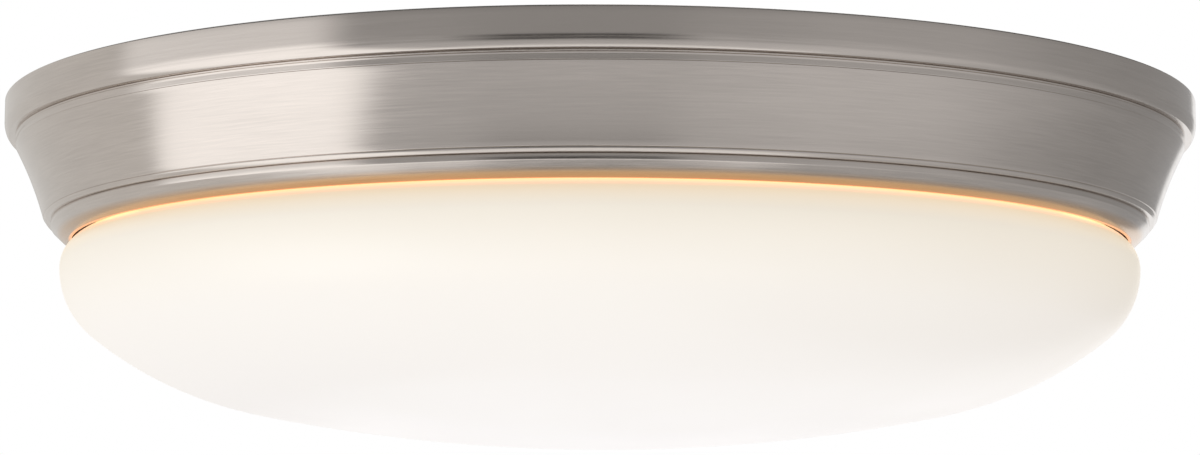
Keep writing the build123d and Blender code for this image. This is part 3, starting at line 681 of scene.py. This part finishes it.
class LIGHT_OT_trim_ring(bpy.types.Operator):
    """Spins the brushed nickel ring and drills its flange for the rivets"""

    bl_idname = "ceiling_light.trim_ring"
    bl_label = "Trim ring"

    def execute(self, context):
        settings = context.scene.ceiling_light
        section = softened(ring_section(), RING_CORNER)
        faces = self.flange_faces(section)
        bm = bmesh.new()
        rings = spin(bm, section, settings.ring_segments, skip=faces)
        top, low = [sorted((rings[i], rings[(i + 1) % len(rings)]), reverse=True,
                           key=lambda ring: ring[0].co.x) for i in faces]
        drilled_sheet(bm, top, low, 0.0, -RING_WALL, RIVET_PLACES, RIVET_RADIUS)
        add_piece("spun_ring", bm, brushed_nickel(settings), "housing",
                  ["trim_ring"], sharp=40.0)
        return {"FINISHED"}

    def flange_faces(self, section):
        """Where the flange's top and underside start in the section."""
        faces = []
        for i, (radius, z) in enumerate(section):
            after = section[(i + 1) % len(section)]
            if abs(z - after[1]) < SAME_POINT and abs(radius - after[0]) > RING_FLANGE_LEAST:
                faces.append(i)
        if len(faces) != 2:
            raise RuntimeError("the ring's flange was not found in its section")
        return faces


# ---------------------------------------------------------------- glass bowl
GLASS_WALL = 3.2
GLASS_NECK = 150.5
GLASS_RIM = 151.7
GLASS_RIM_Z = -27.5
GLASS_RIM_DEPTH = 2.5
GLASS_RIM_SLOPE = 0.4
GLASS_RIM_ROUNDING = 1.0
GLASS_WIDEST = (161.1, -48.9)
GLASS_FLARE_RADIUS = 3.0
GLASS_FLARE_Z = -36.5
GLASS_BULGE_RADIUS = 9.55
GLASS_SIDE_RADIUS = 24.4
GLASS_SIDE_TURN = 51.6
GLASS_SHOULDER_RADIUS = 108.0
GLASS_SHOULDER_TURN = 78.7


def glass_skin(inset):
    """The bowl's section from the neck to the pole, at a distance inside the outer skin."""
    bulge_centre = (GLASS_WIDEST[0] - GLASS_BULGE_RADIUS, GLASS_WIDEST[1])
    side_centre = (GLASS_WIDEST[0] - GLASS_SIDE_RADIUS, GLASS_WIDEST[1])
    shoulder_centre = on_circle(side_centre, GLASS_SIDE_RADIUS - GLASS_SHOULDER_RADIUS,
                                -GLASS_SIDE_TURN)
    shoulder_end = on_circle(shoulder_centre, GLASS_SHOULDER_RADIUS, -GLASS_SHOULDER_TURN)
    turn = math.radians(GLASS_SHOULDER_TURN)
    cap_radius = shoulder_end[0] / math.cos(turn)
    cap_centre = (0.0, shoulder_end[1] + cap_radius * math.sin(turn))
    flare_centre = (GLASS_NECK + GLASS_FLARE_RADIUS, GLASS_FLARE_Z)
    flare_angle = math.degrees(math.atan2(flare_centre[1] - bulge_centre[1],
                                          flare_centre[0] - bulge_centre[0]))
    return joined(
        arc(flare_centre, GLASS_FLARE_RADIUS + inset, 180.0, flare_angle + 180.0, 14),
        arc(bulge_centre, GLASS_BULGE_RADIUS - inset, flare_angle, 0.0, 18),
        arc(side_centre, GLASS_SIDE_RADIUS - inset, 0.0, -GLASS_SIDE_TURN, 18),
        arc(shoulder_centre, GLASS_SHOULDER_RADIUS - inset, -GLASS_SIDE_TURN,
            -GLASS_SHOULDER_TURN, 14),
        arc(cap_centre, cap_radius - inset, -GLASS_SHOULDER_TURN, -90.0, 16)[:-1],
        [(0.0, cap_centre[1] - cap_radius + inset)])


class LIGHT_OT_glass_bowl(bpy.types.Operator):
    """Blows the opal glass bowl with its neck, fire-polished rim and even wall"""

    bl_idname = "ceiling_light.glass_bowl"
    bl_label = "Glass bowl"

    def execute(self, context):
        settings = context.scene.ceiling_light
        neck_inner = GLASS_NECK - GLASS_WALL
        rim_low = GLASS_RIM_Z - GLASS_RIM_DEPTH
        # The two lowest corners close the outline for the rounding, and go again after it.
        closing_z = GLASS_FLARE_Z + 0.5
        rim = softened([(neck_inner, GLASS_RIM_Z), (GLASS_RIM, GLASS_RIM_Z),
                        (GLASS_RIM, rim_low + GLASS_RIM_SLOPE), (GLASS_NECK, rim_low),
                        (GLASS_NECK, closing_z), (neck_inner, closing_z)],
                       GLASS_RIM_ROUNDING, 5)
        rim = [corner for corner in rim if corner[1] > closing_z + 0.7]
        section = joined(rim, glass_skin(0.0), glass_skin(GLASS_WALL)[::-1])
        bm = bmesh.new()
        spin(bm, section, settings.glass_segments, skip=[self.pole_gap(section)])
        add_piece("opal_bowl", bm, opal_glass(settings), "glass",
                  ["glass_bowl"], sharp=60.0)
        return {"FINISHED"}

    def pole_gap(self, section):
        """The band between the two poles, where there is nothing to spin."""
        for i, here in enumerate(section):
            after = section[(i + 1) % len(section)]
            if here[0] < SAME_POINT and after[0] < SAME_POINT:
                return i
        raise RuntimeError("the bowl's section doesn't close at its axis")


# ---------------------------------------------------------------- inner works
STUD_XS = (-54.0, 54.0)
STUD_RADIUS = 2.08
STUD_LENGTH = 17.0
STUD_PITCH = 0.79
NUT_BORE = STUD_RADIUS + 0.02
LOCK_NUT_HEIGHT = 3.2
LOCK_NUT_FLATS = 8.7
CAP_NUT_HEIGHT = 9.6
CAP_NUT_BORE_END = 6.0
CAP_NUT_FLATS = 9.5
HEXAGON_SEGMENTS = 48
CROSSBAR_UNDER = -1.6
PLATE_UNDER = -10.2
GROUND_SCREW_X = 22.0
GROUND_HEAD_FLATS = 7.68
GROUND_HEAD_Z = -3.4
BOARD_UNDER = -34.3
BOARD_LEAD_HOLE = (90.0, 0.0)
CONNECTOR_END = 29.0
TRAY_SCREW_PLACES = round_places(104.0, 3, 90.0)
BOARD_SCREW_PLACES = round_places(46.0, 3, 30.0)
# node, places, height of the head's seat, length of the shank
SCREWS = (
    ("terminal_screw", [(0.0, 70.5)], -12.7, 3.7),
    ("driver_screws", [(-60.5, -33.0), (60.5, -33.0)], -11.7, 2.7),
    ("tray_screws", TRAY_SCREW_PLACES, -32.7, 9.5),
    ("board_screws", BOARD_SCREW_PLACES, BOARD_UNDER, 3.1),
)
# How the cross recess of the first screw is turned, and each next one on from it.
SCREW_TURN = 25.0
SCREW_TURN_ON = 37.0
PAN_HEAD_HEIGHT = 1.9
PAN_RECESS_FLOOR = -0.9
RING_RIVET_GRIP = 2.2
LUG_ANGLES = (90.0, 210.0, 330.0)
BRACKET_RIVET_RADIUS = 149.0
BRACKET_RIVET_SIDES = (-7.0, 7.0)
BRACKET_RIVET_Z = -3.4
# name, body, turn from the lugs, radius of the seat, grip, height
SIDE_RIVETS = (
    ("spring", "housing", 0.0, 158.1, 1.7, -22.0),
    ("clip", "glass_carrier", 60.0, 152.38, 1.82, -33.4),
)
# radius of each ring of LED chips, and how many places it has
CHIP_RINGS = ((16.0, 4), (38.0, 10), (60.0, 16), (82.0, 22), (98.0, 28))
CHIP_CLEARANCE = 9.0
# name, colour, roughness, nodes of each plastic or rubber
MOULDINGS = (
    ("black_rubber", (0.04, 0.04, 0.04), 0.6, ("wire_bushing", "lead_grommet")),
    ("block_plastic", (0.90, 0.89, 0.85), 0.42, ("terminal_block", "board_connector")),
    ("lead_black", (0.03, 0.03, 0.03), 0.4, ("live_lead", "negative_lead")),
    ("lead_white", (0.88, 0.88, 0.86), 0.4, ("neutral_lead",)),
    ("lead_red", (0.62, 0.04, 0.03), 0.4, ("positive_lead",)),
    ("driver_plastic", (0.86, 0.86, 0.84), 0.5, ("driver_case", "driver_lid")),
    ("transformer_tape", (0.75, 0.62, 0.15), 0.4, ("driver_transformer",)),
    ("capacitor_sleeve", (0.06, 0.07, 0.12), 0.3, ("driver_capacitors",)),
    ("clear_silicone", (0.80, 0.80, 0.77), 0.35, ("glass_gasket",)),
)


def screw_steel():
    """The frame's own plain bright steel, which screws, studs, nuts and standoffs share."""
    return bpy.data.materials["screw_steel"]


class LIGHT_OT_studs_and_nuts(bpy.types.Operator):
    """Threads the crossbar's studs and makes their lock nuts and cap nuts"""

    bl_idname = "ceiling_light.studs_and_nuts"
    bl_label = "Studs and nuts"

    def execute(self, context):
        steel = screw_steel()
        stud = [(0.0, 0.0), (STUD_RADIUS - 0.5, 0.0)]
        stud += thread(STUD_RADIUS, 0.3, STUD_LENGTH - 0.1, STUD_PITCH) + [(0.0, STUD_LENGTH)]
        high = LOCK_NUT_HEIGHT
        nut = [(NUT_BORE, 0.0), (4.2, 0.0), (5.1, 0.45), (5.1, high - 0.45), (4.2, high),
               (NUT_BORE, high)]
        high = CAP_NUT_HEIGHT
        cap = [(0.0, 0.0)] + arc((1.15, 3.2), 3.2, -90.0, 0.0, 10)
        cap += [(4.35, 3.6), (4.55, 3.6), (5.5, 4.05), (5.5, high - 0.4), (4.6, high),
                (NUT_BORE, high), (NUT_BORE, CAP_NUT_BORE_END), (0.0, CAP_NUT_BORE_END)]
        studs, lock_nuts, cap_nuts = bmesh.new(), bmesh.new(), bmesh.new()
        for x in STUD_XS:
            turned(studs, stud, placed(x, 0.0, -STUD_LENGTH))
            place = placed(x, 0.0, CROSSBAR_UNDER - LOCK_NUT_HEIGHT)
            spin(lock_nuts, nut, HEXAGON_SEGMENTS, (), place, LOCK_NUT_FLATS)
            place = placed(x, 0.0, PLATE_UNDER - CAP_NUT_HEIGHT)
            turned(cap_nuts, cap, place, HEXAGON_SEGMENTS, CAP_NUT_FLATS)
        add_piece("threaded_studs", studs, steel, "housing", ["crossbar_studs"])
        add_piece("hex_lock_nuts", lock_nuts, steel, "housing", ["stud_lock_nuts"])
        add_piece("acorn_nuts", cap_nuts, steel, "housing", ["cap_nuts"])
        return {"FINISHED"}


class LIGHT_OT_screws(bpy.types.Operator):
    """Makes the pan head screws of the terminal, the driver, the tray and the board"""

    bl_idname = "ceiling_light.screws"
    bl_label = "Screws"

    def execute(self, context):
        steel = screw_steel()
        for node, places, seat, length in SCREWS:
            bm = bmesh.new()
            for i, (x, y) in enumerate(places):
                self.pan_screw(bm, placed(x, y, seat, SCREW_TURN + SCREW_TURN_ON * i), length)
            add_piece("recessed_" + node, bm, steel, "housing", [node])
        return {"FINISHED"}

    def pan_screw(self, bm, place, length):
        """A screw that goes up from its seat, with a cross recess in its rounded head."""
        arm, half = 1.45, 0.42
        cross = [(half, arm), (-half, arm), (-half, half), (-arm, half), (-arm, -half),
                 (-half, -half), (-half, -arm), (half, -arm), (half, -half), (arm, -half),
                 (arm, half), (half, half)]
        head = arc((2.1, 0.8 - PAN_HEAD_HEIGHT), 0.8, -90.0, 0.0, 6) + [(2.9, -0.1), (2.8, 0.0)]
        rings = turned(bm, head + thread(1.5, 0.0, length, 0.6, 0.25) + [(0.0, length)], place)
        recessed(bm, rings[0], cross, place, -PAN_HEAD_HEIGHT, PAN_RECESS_FLOOR)


class LIGHT_OT_ground_screw(bpy.types.Operator):
    """Makes the green slotted ground screw and its washer"""

    bl_idname = "ceiling_light.ground_screw"
    bl_label = "Ground screw"

    def execute(self, context):
        green = sheet_metal("ground_green", (0.05, 0.42, 0.14), 0.3)
        bm = bmesh.new()
        place = placed(GROUND_SCREW_X, 0.0, CROSSBAR_UNDER)
        washer = [(0.0, -0.8), (4.7, -0.8), (4.8, -0.7), (4.8, -0.1), (4.7, 0.0)]
        turned(bm, washer + thread(2.4, 0.0, 1.6, 0.8) + [(0.0, 1.6)], place)
        face = GROUND_HEAD_Z
        head = [(3.2, face), (3.7, face), (4.5, face + 0.4), (4.5, -0.8), (0.0, -0.8)]
        rings = turned(bm, head, place, HEXAGON_SEGMENTS, GROUND_HEAD_FLATS)
        slot = [(3.0, 0.5), (-3.0, 0.5), (-3.0, -0.5), (3.0, -0.5)]
        recessed(bm, rings[0], slot, place, face, face + 1.0, 0.96)
        add_piece("slotted_ground_screw", bm, green, "housing", ["ground_screw"])
        return {"FINISHED"}


class LIGHT_OT_rivets(bpy.types.Operator):
    """Sets the blind rivets of the ring, the brackets, the springs and the clips"""

    bl_idname = "ceiling_light.rivets"
    bl_label = "Rivets"

    def execute(self, context):
        aluminium = sheet_metal("rivet_aluminium", (0.78, 0.78, 0.78), 0.36, (400.0, 400.0, 400.0))
        # The flanged head, with the end of the broken mandrel in its middle.
        flange = [(0.0, -0.55), (0.75, -0.55), (0.85, -1.0), (1.0, -1.1)]
        flange += arc((2.2, -0.3), 0.8, -90.0, 0.0, 6) + [(3.0, 0.0), (RIVET_RADIUS, 0.0)]
        flush_end = [(RIVET_RADIUS, RING_RIVET_GRIP), (0.0, RING_RIVET_GRIP)]
        bm = bmesh.new()
        for x, y in RIVET_PLACES:
            turned(bm, flange + flush_end, placed(x, y, -RING_RIVET_GRIP))
        add_piece("ring_blind_rivets", bm, aluminium, "housing", ["ring_rivets"])

        set_end = [(RIVET_RADIUS, 2.4), (2.2, 2.4), (2.4, 2.6), (2.3, 2.95), (1.8, 3.15),
                   (0.0, 3.2)]
        bm = bmesh.new()
        for angle in LUG_ANGLES:
            a = math.radians(angle)
            for side in BRACKET_RIVET_SIDES:
                x = BRACKET_RIVET_RADIUS * math.cos(a) - side * math.sin(a)
                y = BRACKET_RIVET_RADIUS * math.sin(a) + side * math.cos(a)
                turned(bm, flange + set_end, placed(x, y, BRACKET_RIVET_Z))
        add_piece("bracket_blind_rivets", bm, aluminium, "housing",
                  ["bracket_rivets"])

        for row in SIDE_RIVETS:
            self.side_rivets(aluminium, *row)
        return {"FINISHED"}

    def side_rivets(self, aluminium, name, body, turn, inner, grip, z):
        """Three small rivets that lie along the radius, set at both ends."""
        section = [(0.0, -0.45), (0.5, -0.45), (0.6, -0.7), (1.2, -0.7), (1.75, -0.5),
                   (1.9, -0.2), (1.9, 0.0), (1.0, 0.0), (1.0, grip), (1.9, grip),
                   (1.9, grip + 0.25), (1.65, grip + 0.55), (1.1, grip + 0.7), (0.0, grip + 0.7)]
        bm = bmesh.new()
        for angle in LUG_ANGLES:
            a = math.radians(angle + turn)
            place = placed(inner * math.cos(a), inner * math.sin(a), z, angle + turn, 90.0)
            turned(bm, section, place, 24)
        add_piece(name + "_blind_rivets", bm, aluminium, body,
                  [name + "_rivets"])


class LIGHT_OT_chips(bpy.types.Operator):
    """Makes the LED chips, each a white frame round a dished yellow lens"""

    bl_idname = "ceiling_light.chips"
    bl_label = "LED chips"

    def execute(self, context):
        frame_finish = moulded("chip_frame", (0.90, 0.90, 0.87), 0.4)
        lens_finish = phosphor("led_phosphor")
        frames, lenses = bmesh.new(), bmesh.new()
        for radius, count in CHIP_RINGS:
            for i in range(count):
                angle = (360.0 * i + 180.0) / count
                x = radius * math.cos(math.radians(angle))
                y = radius * math.sin(math.radians(angle))
                if not self.clear_of_fixings(x, y):
                    continue
                place = placed(x, y, BOARD_UNDER, angle)
                stacked(frames, place, [(1.4, 1.75, 0.0), (1.4, 1.75, -0.74), (1.34, 1.69, -0.8),
                                        (1.08, 1.43, -0.8), (0.98, 1.33, -0.6)])
                stacked(lenses, place, [(1.0, 1.35, -0.64), (0.8, 1.1, -0.69), (0.4, 0.6, -0.7)])
        add_piece("chip_frames", frames, frame_finish, "housing", ["led_chips"])
        add_piece("chip_lenses", lenses, lens_finish, "housing")
        return {"FINISHED"}

    def clear_of_fixings(self, x, y):
        """False near the board's screws, its lead hole and its connector."""
        if abs(x - BOARD_LEAD_HOLE[0]) < CHIP_CLEARANCE and 0.0 < y < CONNECTOR_END:
            return False
        fixings = TRAY_SCREW_PLACES + BOARD_SCREW_PLACES + [BOARD_LEAD_HOLE]
        return all(math.dist((x, y), fixing) > CHIP_CLEARANCE for fixing in fixings)


class LIGHT_OT_works(bpy.types.Operator):
    """Finishes the plates, brackets, wiring, driver and boards of the frame"""

    bl_idname = "ceiling_light.works"
    bl_label = "Inner works"

    def execute(self, context):
        zinc = sheet_metal("zinc_steel", (0.70, 0.71, 0.72), 0.34, tint=(0.62, 0.64, 0.60))
        dress(zinc, "crossbar", "lug_bracket_1", "lug_bracket_2", "lug_bracket_3",
              "glass_carrier_ring")
        dress(screw_steel(), "tray_standoffs")
        dress(sheet_metal("spring_steel", (0.55, 0.56, 0.58), 0.22),
              "hold_down_springs", "glass_clips")
        dress(sheet_metal("tray_aluminium", (0.84, 0.84, 0.83), 0.4), "led_tray")
        dress(enamel("white_enamel", (0.86, 0.86, 0.84), 0.35), "base_plate")
        dress(board_mask("circuit_board", (0.05, 0.28, 0.12), (0.10, 0.40, 0.18)), "driver_board")
        dress(board_mask("board_white", (0.90, 0.90, 0.89), (0.82, 0.82, 0.80)), "led_board")
        for name, colour, roughness, nodes in MOULDINGS:
            dress(moulded(name, colour, roughness), *nodes)
        return {"FINISHED"}


# ---------------------------------------------------------------- studio
CAMERA_AIM = (0.0, 0.0, -0.03348)
CAMERA_TILT = 7.356
CAMERA_ROLL = 0.14
FLOOR_Z = -6.6
FLOOR_HALF = 14.0
WORLD_LIGHT = 0.62
WALL_RADIUS = 6.4
WALL_ROWS = 24
WALL_COLUMNS = 48
WALL_LOWEST, WALL_HIGHEST = -89.9, 88.0
WALL_LEFT, WALL_RIGHT = -172.0, 156.0
# Brightness of the walls by angle above the horizon, and by angle to the side of the camera.
WALL_BY_HEIGHT = (
    (-90, 0.28), (-86, 0.35), (-82, 0.33), (-73, 0.35), (-53, 0.54), (-26, 0.56),
    (-14, 0.42), (2, 0.42), (14, 0.43), (24, 0.18), (90, 0.10))
WALL_BY_SIDE = (
    (-180, 1.85), (-150, 1.30), (-110, 1.18), (-30, 1.0), (12, 1.0), (45, 1.20),
    (72, 1.18), (92, 0.94), (115, 0.80), (135, 0.78), (180, 1.0))
LAMP_AIM = (0.0, 0.0, -0.05)
LAMP_SIZE = 2.4
# name, place, power, colour
LAMPS = (
    ("soft_box", (-2.6, -1.5, -2.2), 55.0, (0.96, 1.0, 1.06)),
    ("fill", (2.4, -2.2, -1.0), 25.0, (1.0, 0.985, 0.96)),
    ("top_light", (0.5, 1.5, 3.0), 30.0, (1.0, 1.0, 1.0)),
)


def pale_stage(name, settings):
    """Plain pale paper that the camera and reflections see at the backdrop's brightness."""
    f = new_finish(name)
    fibre = f.noise(f.point(), 30.0, 3.0, 0.5)
    paper = f.node("ShaderNodeBsdfDiffuse", inputs={
        "Color": f.mix(fibre, rgba(0.86), rgba(0.88))})
    bright = f.node("ShaderNodeEmission", inputs={
        "Color": rgba(1.0), "Strength": settings.background})
    return f.end(f.node("ShaderNodeMixShader", inputs={0: f.seen(), 1: paper, 2: bright}))


def angle_ramp(f, angle, most, tones):
    """Greys by an angle in degrees, from minus the most to plus the most."""
    stops = [((at + most) / (2.0 * most), rgba(tone)) for at, tone in tones]
    return f.ramp(f.levels(angle, -most, most, smooth=False), stops)


def studio_walls(name):
    """What the ring mirrors: grey walls, a bright sweep below the camera and a soft box at left."""
    f = new_finish(name)
    x, y, z = f.split(f.point())
    height = z.turn((x * x + y * y).root()) * (180.0 / math.pi)
    side = x.turn(y * -1.0) * (180.0 / math.pi)
    sides = angle_ramp(f, side, 180.0, WALL_BY_SIDE)
    sides = f.mix(f.levels(height, -88.0, -76.0), rgba(1.0), sides)
    grey = f.mix(1.0, angle_ramp(f, height, 90.0, WALL_BY_HEIGHT), sides, "MULTIPLY")
    below_camera = 1.0 - f.levels(side.size(), 58.0, 76.0)
    sweep = f.window(height, -74.0, -69.0, -59.0, -53.0) * below_camera
    grey = f.mix(sweep, grey, rgba(1.15))
    left_wall = (1.0 - f.levels(side, -104.0, -92.0)) * f.window(height, -55.0, -45.0, 20.0, 34.0)
    grey = f.mix(left_wall, grey, (0.67, 0.66, 0.64, 1.0))
    dark_gap = f.window(side, -30.0, -16.0, 8.0, 20.0) * f.window(height, -22.0, -18.0, -3.0, 1.0)
    grey = f.mix(dark_gap, grey, (0.03, 0.028, 0.026, 1.0))
    # The box is brighter in its lower part, and fades in two steps upwards.
    fading = 0.45 * (1.0 - f.levels(height, -12.0, 2.0))
    fading = fading + 0.55 * (1.0 - f.levels(height, 14.0, 22.0))
    box = f.window(side, -101.0, -94.0, -54.0, -44.0) * f.levels(height, -78.0, -52.0) * fading
    lit = f.mix(box, grey, rgba(1.40))
    return f.end(f.node("ShaderNodeEmission", inputs={"Color": lit, "Strength": 1.0}))


def stage_mesh(name, bm, finish):
    """Makes a piece of the studio from a mesh."""
    mesh = bpy.data.meshes.new(name)
    bm.to_mesh(mesh)
    bm.free()
    mesh.materials.append(finish)
    piece = bpy.data.objects.new(name, mesh)
    bpy.context.scene.collection.objects.link(piece)
    return piece


def soft_lamp(name, place, power, colour):
    """A square lamp that lights the piece, but isn't mirrored in it."""
    light = bpy.data.lights.new(name, "AREA")
    light.shape = "SQUARE"
    light.size = LAMP_SIZE
    light.energy = power
    light.color = colour
    lamp = bpy.data.objects.new(name, light)
    bpy.context.scene.collection.objects.link(lamp)
    lamp.location = place
    towards = Vector(LAMP_AIM) - Vector(place)
    lamp.rotation_euler = towards.to_track_quat("-Z", "Y").to_euler()
    lamp.visible_glossy = False


class LIGHT_OT_studio(bpy.types.Operator):
    """Sets up the floor, the grey studio walls, the lamps, the world and the camera"""

    bl_idname = "ceiling_light.studio"
    bl_label = "Studio"

    def execute(self, context):
        scene = context.scene
        settings = scene.ceiling_light
        scene.view_settings.view_transform = "Standard"
        self.world(scene, settings)
        self.floor(settings)
        self.walls()
        for lamp in LAMPS:
            soft_lamp(*lamp)
        self.camera(scene, settings)
        return {"FINISHED"}

    def world(self, scene, settings):
        """A white room, dimmer as a light on the piece than as a backdrop."""
        f = Finish(bpy.data.worlds.new("studio_world"))
        strength = f.levels(f.seen(), 0.0, 1.0, WORLD_LIGHT, settings.background, smooth=False)
        sky = f.node("ShaderNodeBackground", inputs={"Color": rgba(1.0), "Strength": strength})
        scene.world = f.end(sky, "ShaderNodeOutputWorld")

    def floor(self, settings):
        """A paper floor far below the light."""
        bm = bmesh.new()
        bmesh.ops.create_grid(bm, x_segments=8, y_segments=8, size=FLOOR_HALF)
        floor = stage_mesh("floor", bm, pale_stage("floor_paper", settings))
        floor.location = (0.0, 0.0, FLOOR_Z)

    def walls(self):
        """A shell round the studio that only reflections see, open behind the light."""
        bm = bmesh.new()
        grid = []
        for i in range(WALL_ROWS + 1):
            rise = math.radians(WALL_LOWEST + (WALL_HIGHEST - WALL_LOWEST) * i / WALL_ROWS)
            flat = WALL_RADIUS * math.cos(rise)
            row = []
            for k in range(WALL_COLUMNS + 1):
                side = math.radians(WALL_LEFT + (WALL_RIGHT - WALL_LEFT) * k / WALL_COLUMNS)
                row.append(bm.verts.new((flat * math.sin(side), -flat * math.cos(side),
                                         WALL_RADIUS * math.sin(rise))))
            grid.append(row)
        for low, high in zip(grid, grid[1:]):
            for k in range(WALL_COLUMNS):
                bm.faces.new((low[k], low[k + 1], high[k + 1], high[k]))
        walls = stage_mesh("studio_walls", bm, studio_walls("studio_walls"))
        walls.visible_camera = False
        walls.visible_diffuse = False
        walls.visible_transmission = False
        walls.visible_shadow = False

    def camera(self, scene, settings):
        """The camera, a little below the light and looking up at it."""
        data = bpy.data.cameras.new("camera")
        data.lens = settings.lens
        data.sensor_width = 36.0
        data.clip_start = 0.01
        data.clip_end = 60.0
        camera = bpy.data.objects.new("camera", data)
        scene.collection.objects.link(camera)
        tilt, roll = math.radians(CAMERA_TILT), math.radians(CAMERA_ROLL)
        back = Vector((0.0, -math.cos(tilt), -math.sin(tilt))) * settings.camera_distance
        facing = Matrix.Rotation(math.radians(90.0) + tilt, 4, "X") @ Matrix.Rotation(roll, 4, "Z")
        camera.matrix_world = Matrix.Translation(Vector(CAMERA_AIM) + back) @ facing
        scene.camera = camera


# ---------------------------------------------------------------- panel and registration
OPERATORS = (LIGHT_OT_trim_ring, LIGHT_OT_glass_bowl, LIGHT_OT_studs_and_nuts,
             LIGHT_OT_screws, LIGHT_OT_ground_screw, LIGHT_OT_rivets, LIGHT_OT_chips,
             LIGHT_OT_works, LIGHT_OT_studio)


class LIGHT_PT_panel(bpy.types.Panel):
    """The light's pieces and finishes in the sidebar"""

    bl_idname = "LIGHT_PT_panel"
    bl_label = "Ceiling Light"
    bl_space_type = "VIEW_3D"
    bl_region_type = "UI"
    bl_category = "Ceiling Light"

    def draw(self, context):
        settings = context.scene.ceiling_light
        for name in settings.bl_rna.properties.keys():
            if name not in ("rna_type", "name"):
                self.layout.prop(settings, name)
        for operator in OPERATORS:
            self.layout.operator(operator.bl_idname)


CLASSES = (CeilingLightSettings,) + OPERATORS + (LIGHT_PT_panel,)


def register():
    for cls in CLASSES:
        bpy.utils.register_class(cls)
    bpy.types.Scene.ceiling_light = PointerProperty(type=CeilingLightSettings)


def unregister():
    del bpy.types.Scene.ceiling_light
    for cls in reversed(CLASSES):
        bpy.utils.unregister_class(cls)


def main():
    register()
    bpy.ops.ceiling_light.trim_ring()
    bpy.ops.ceiling_light.glass_bowl()
    bpy.ops.ceiling_light.studs_and_nuts()
    bpy.ops.ceiling_light.screws()
    bpy.ops.ceiling_light.ground_screw()
    bpy.ops.ceiling_light.rivets()
    bpy.ops.ceiling_light.chips()
    bpy.ops.ceiling_light.works()
    bpy.ops.ceiling_light.studio()


if __name__ == "__main__":
    main()
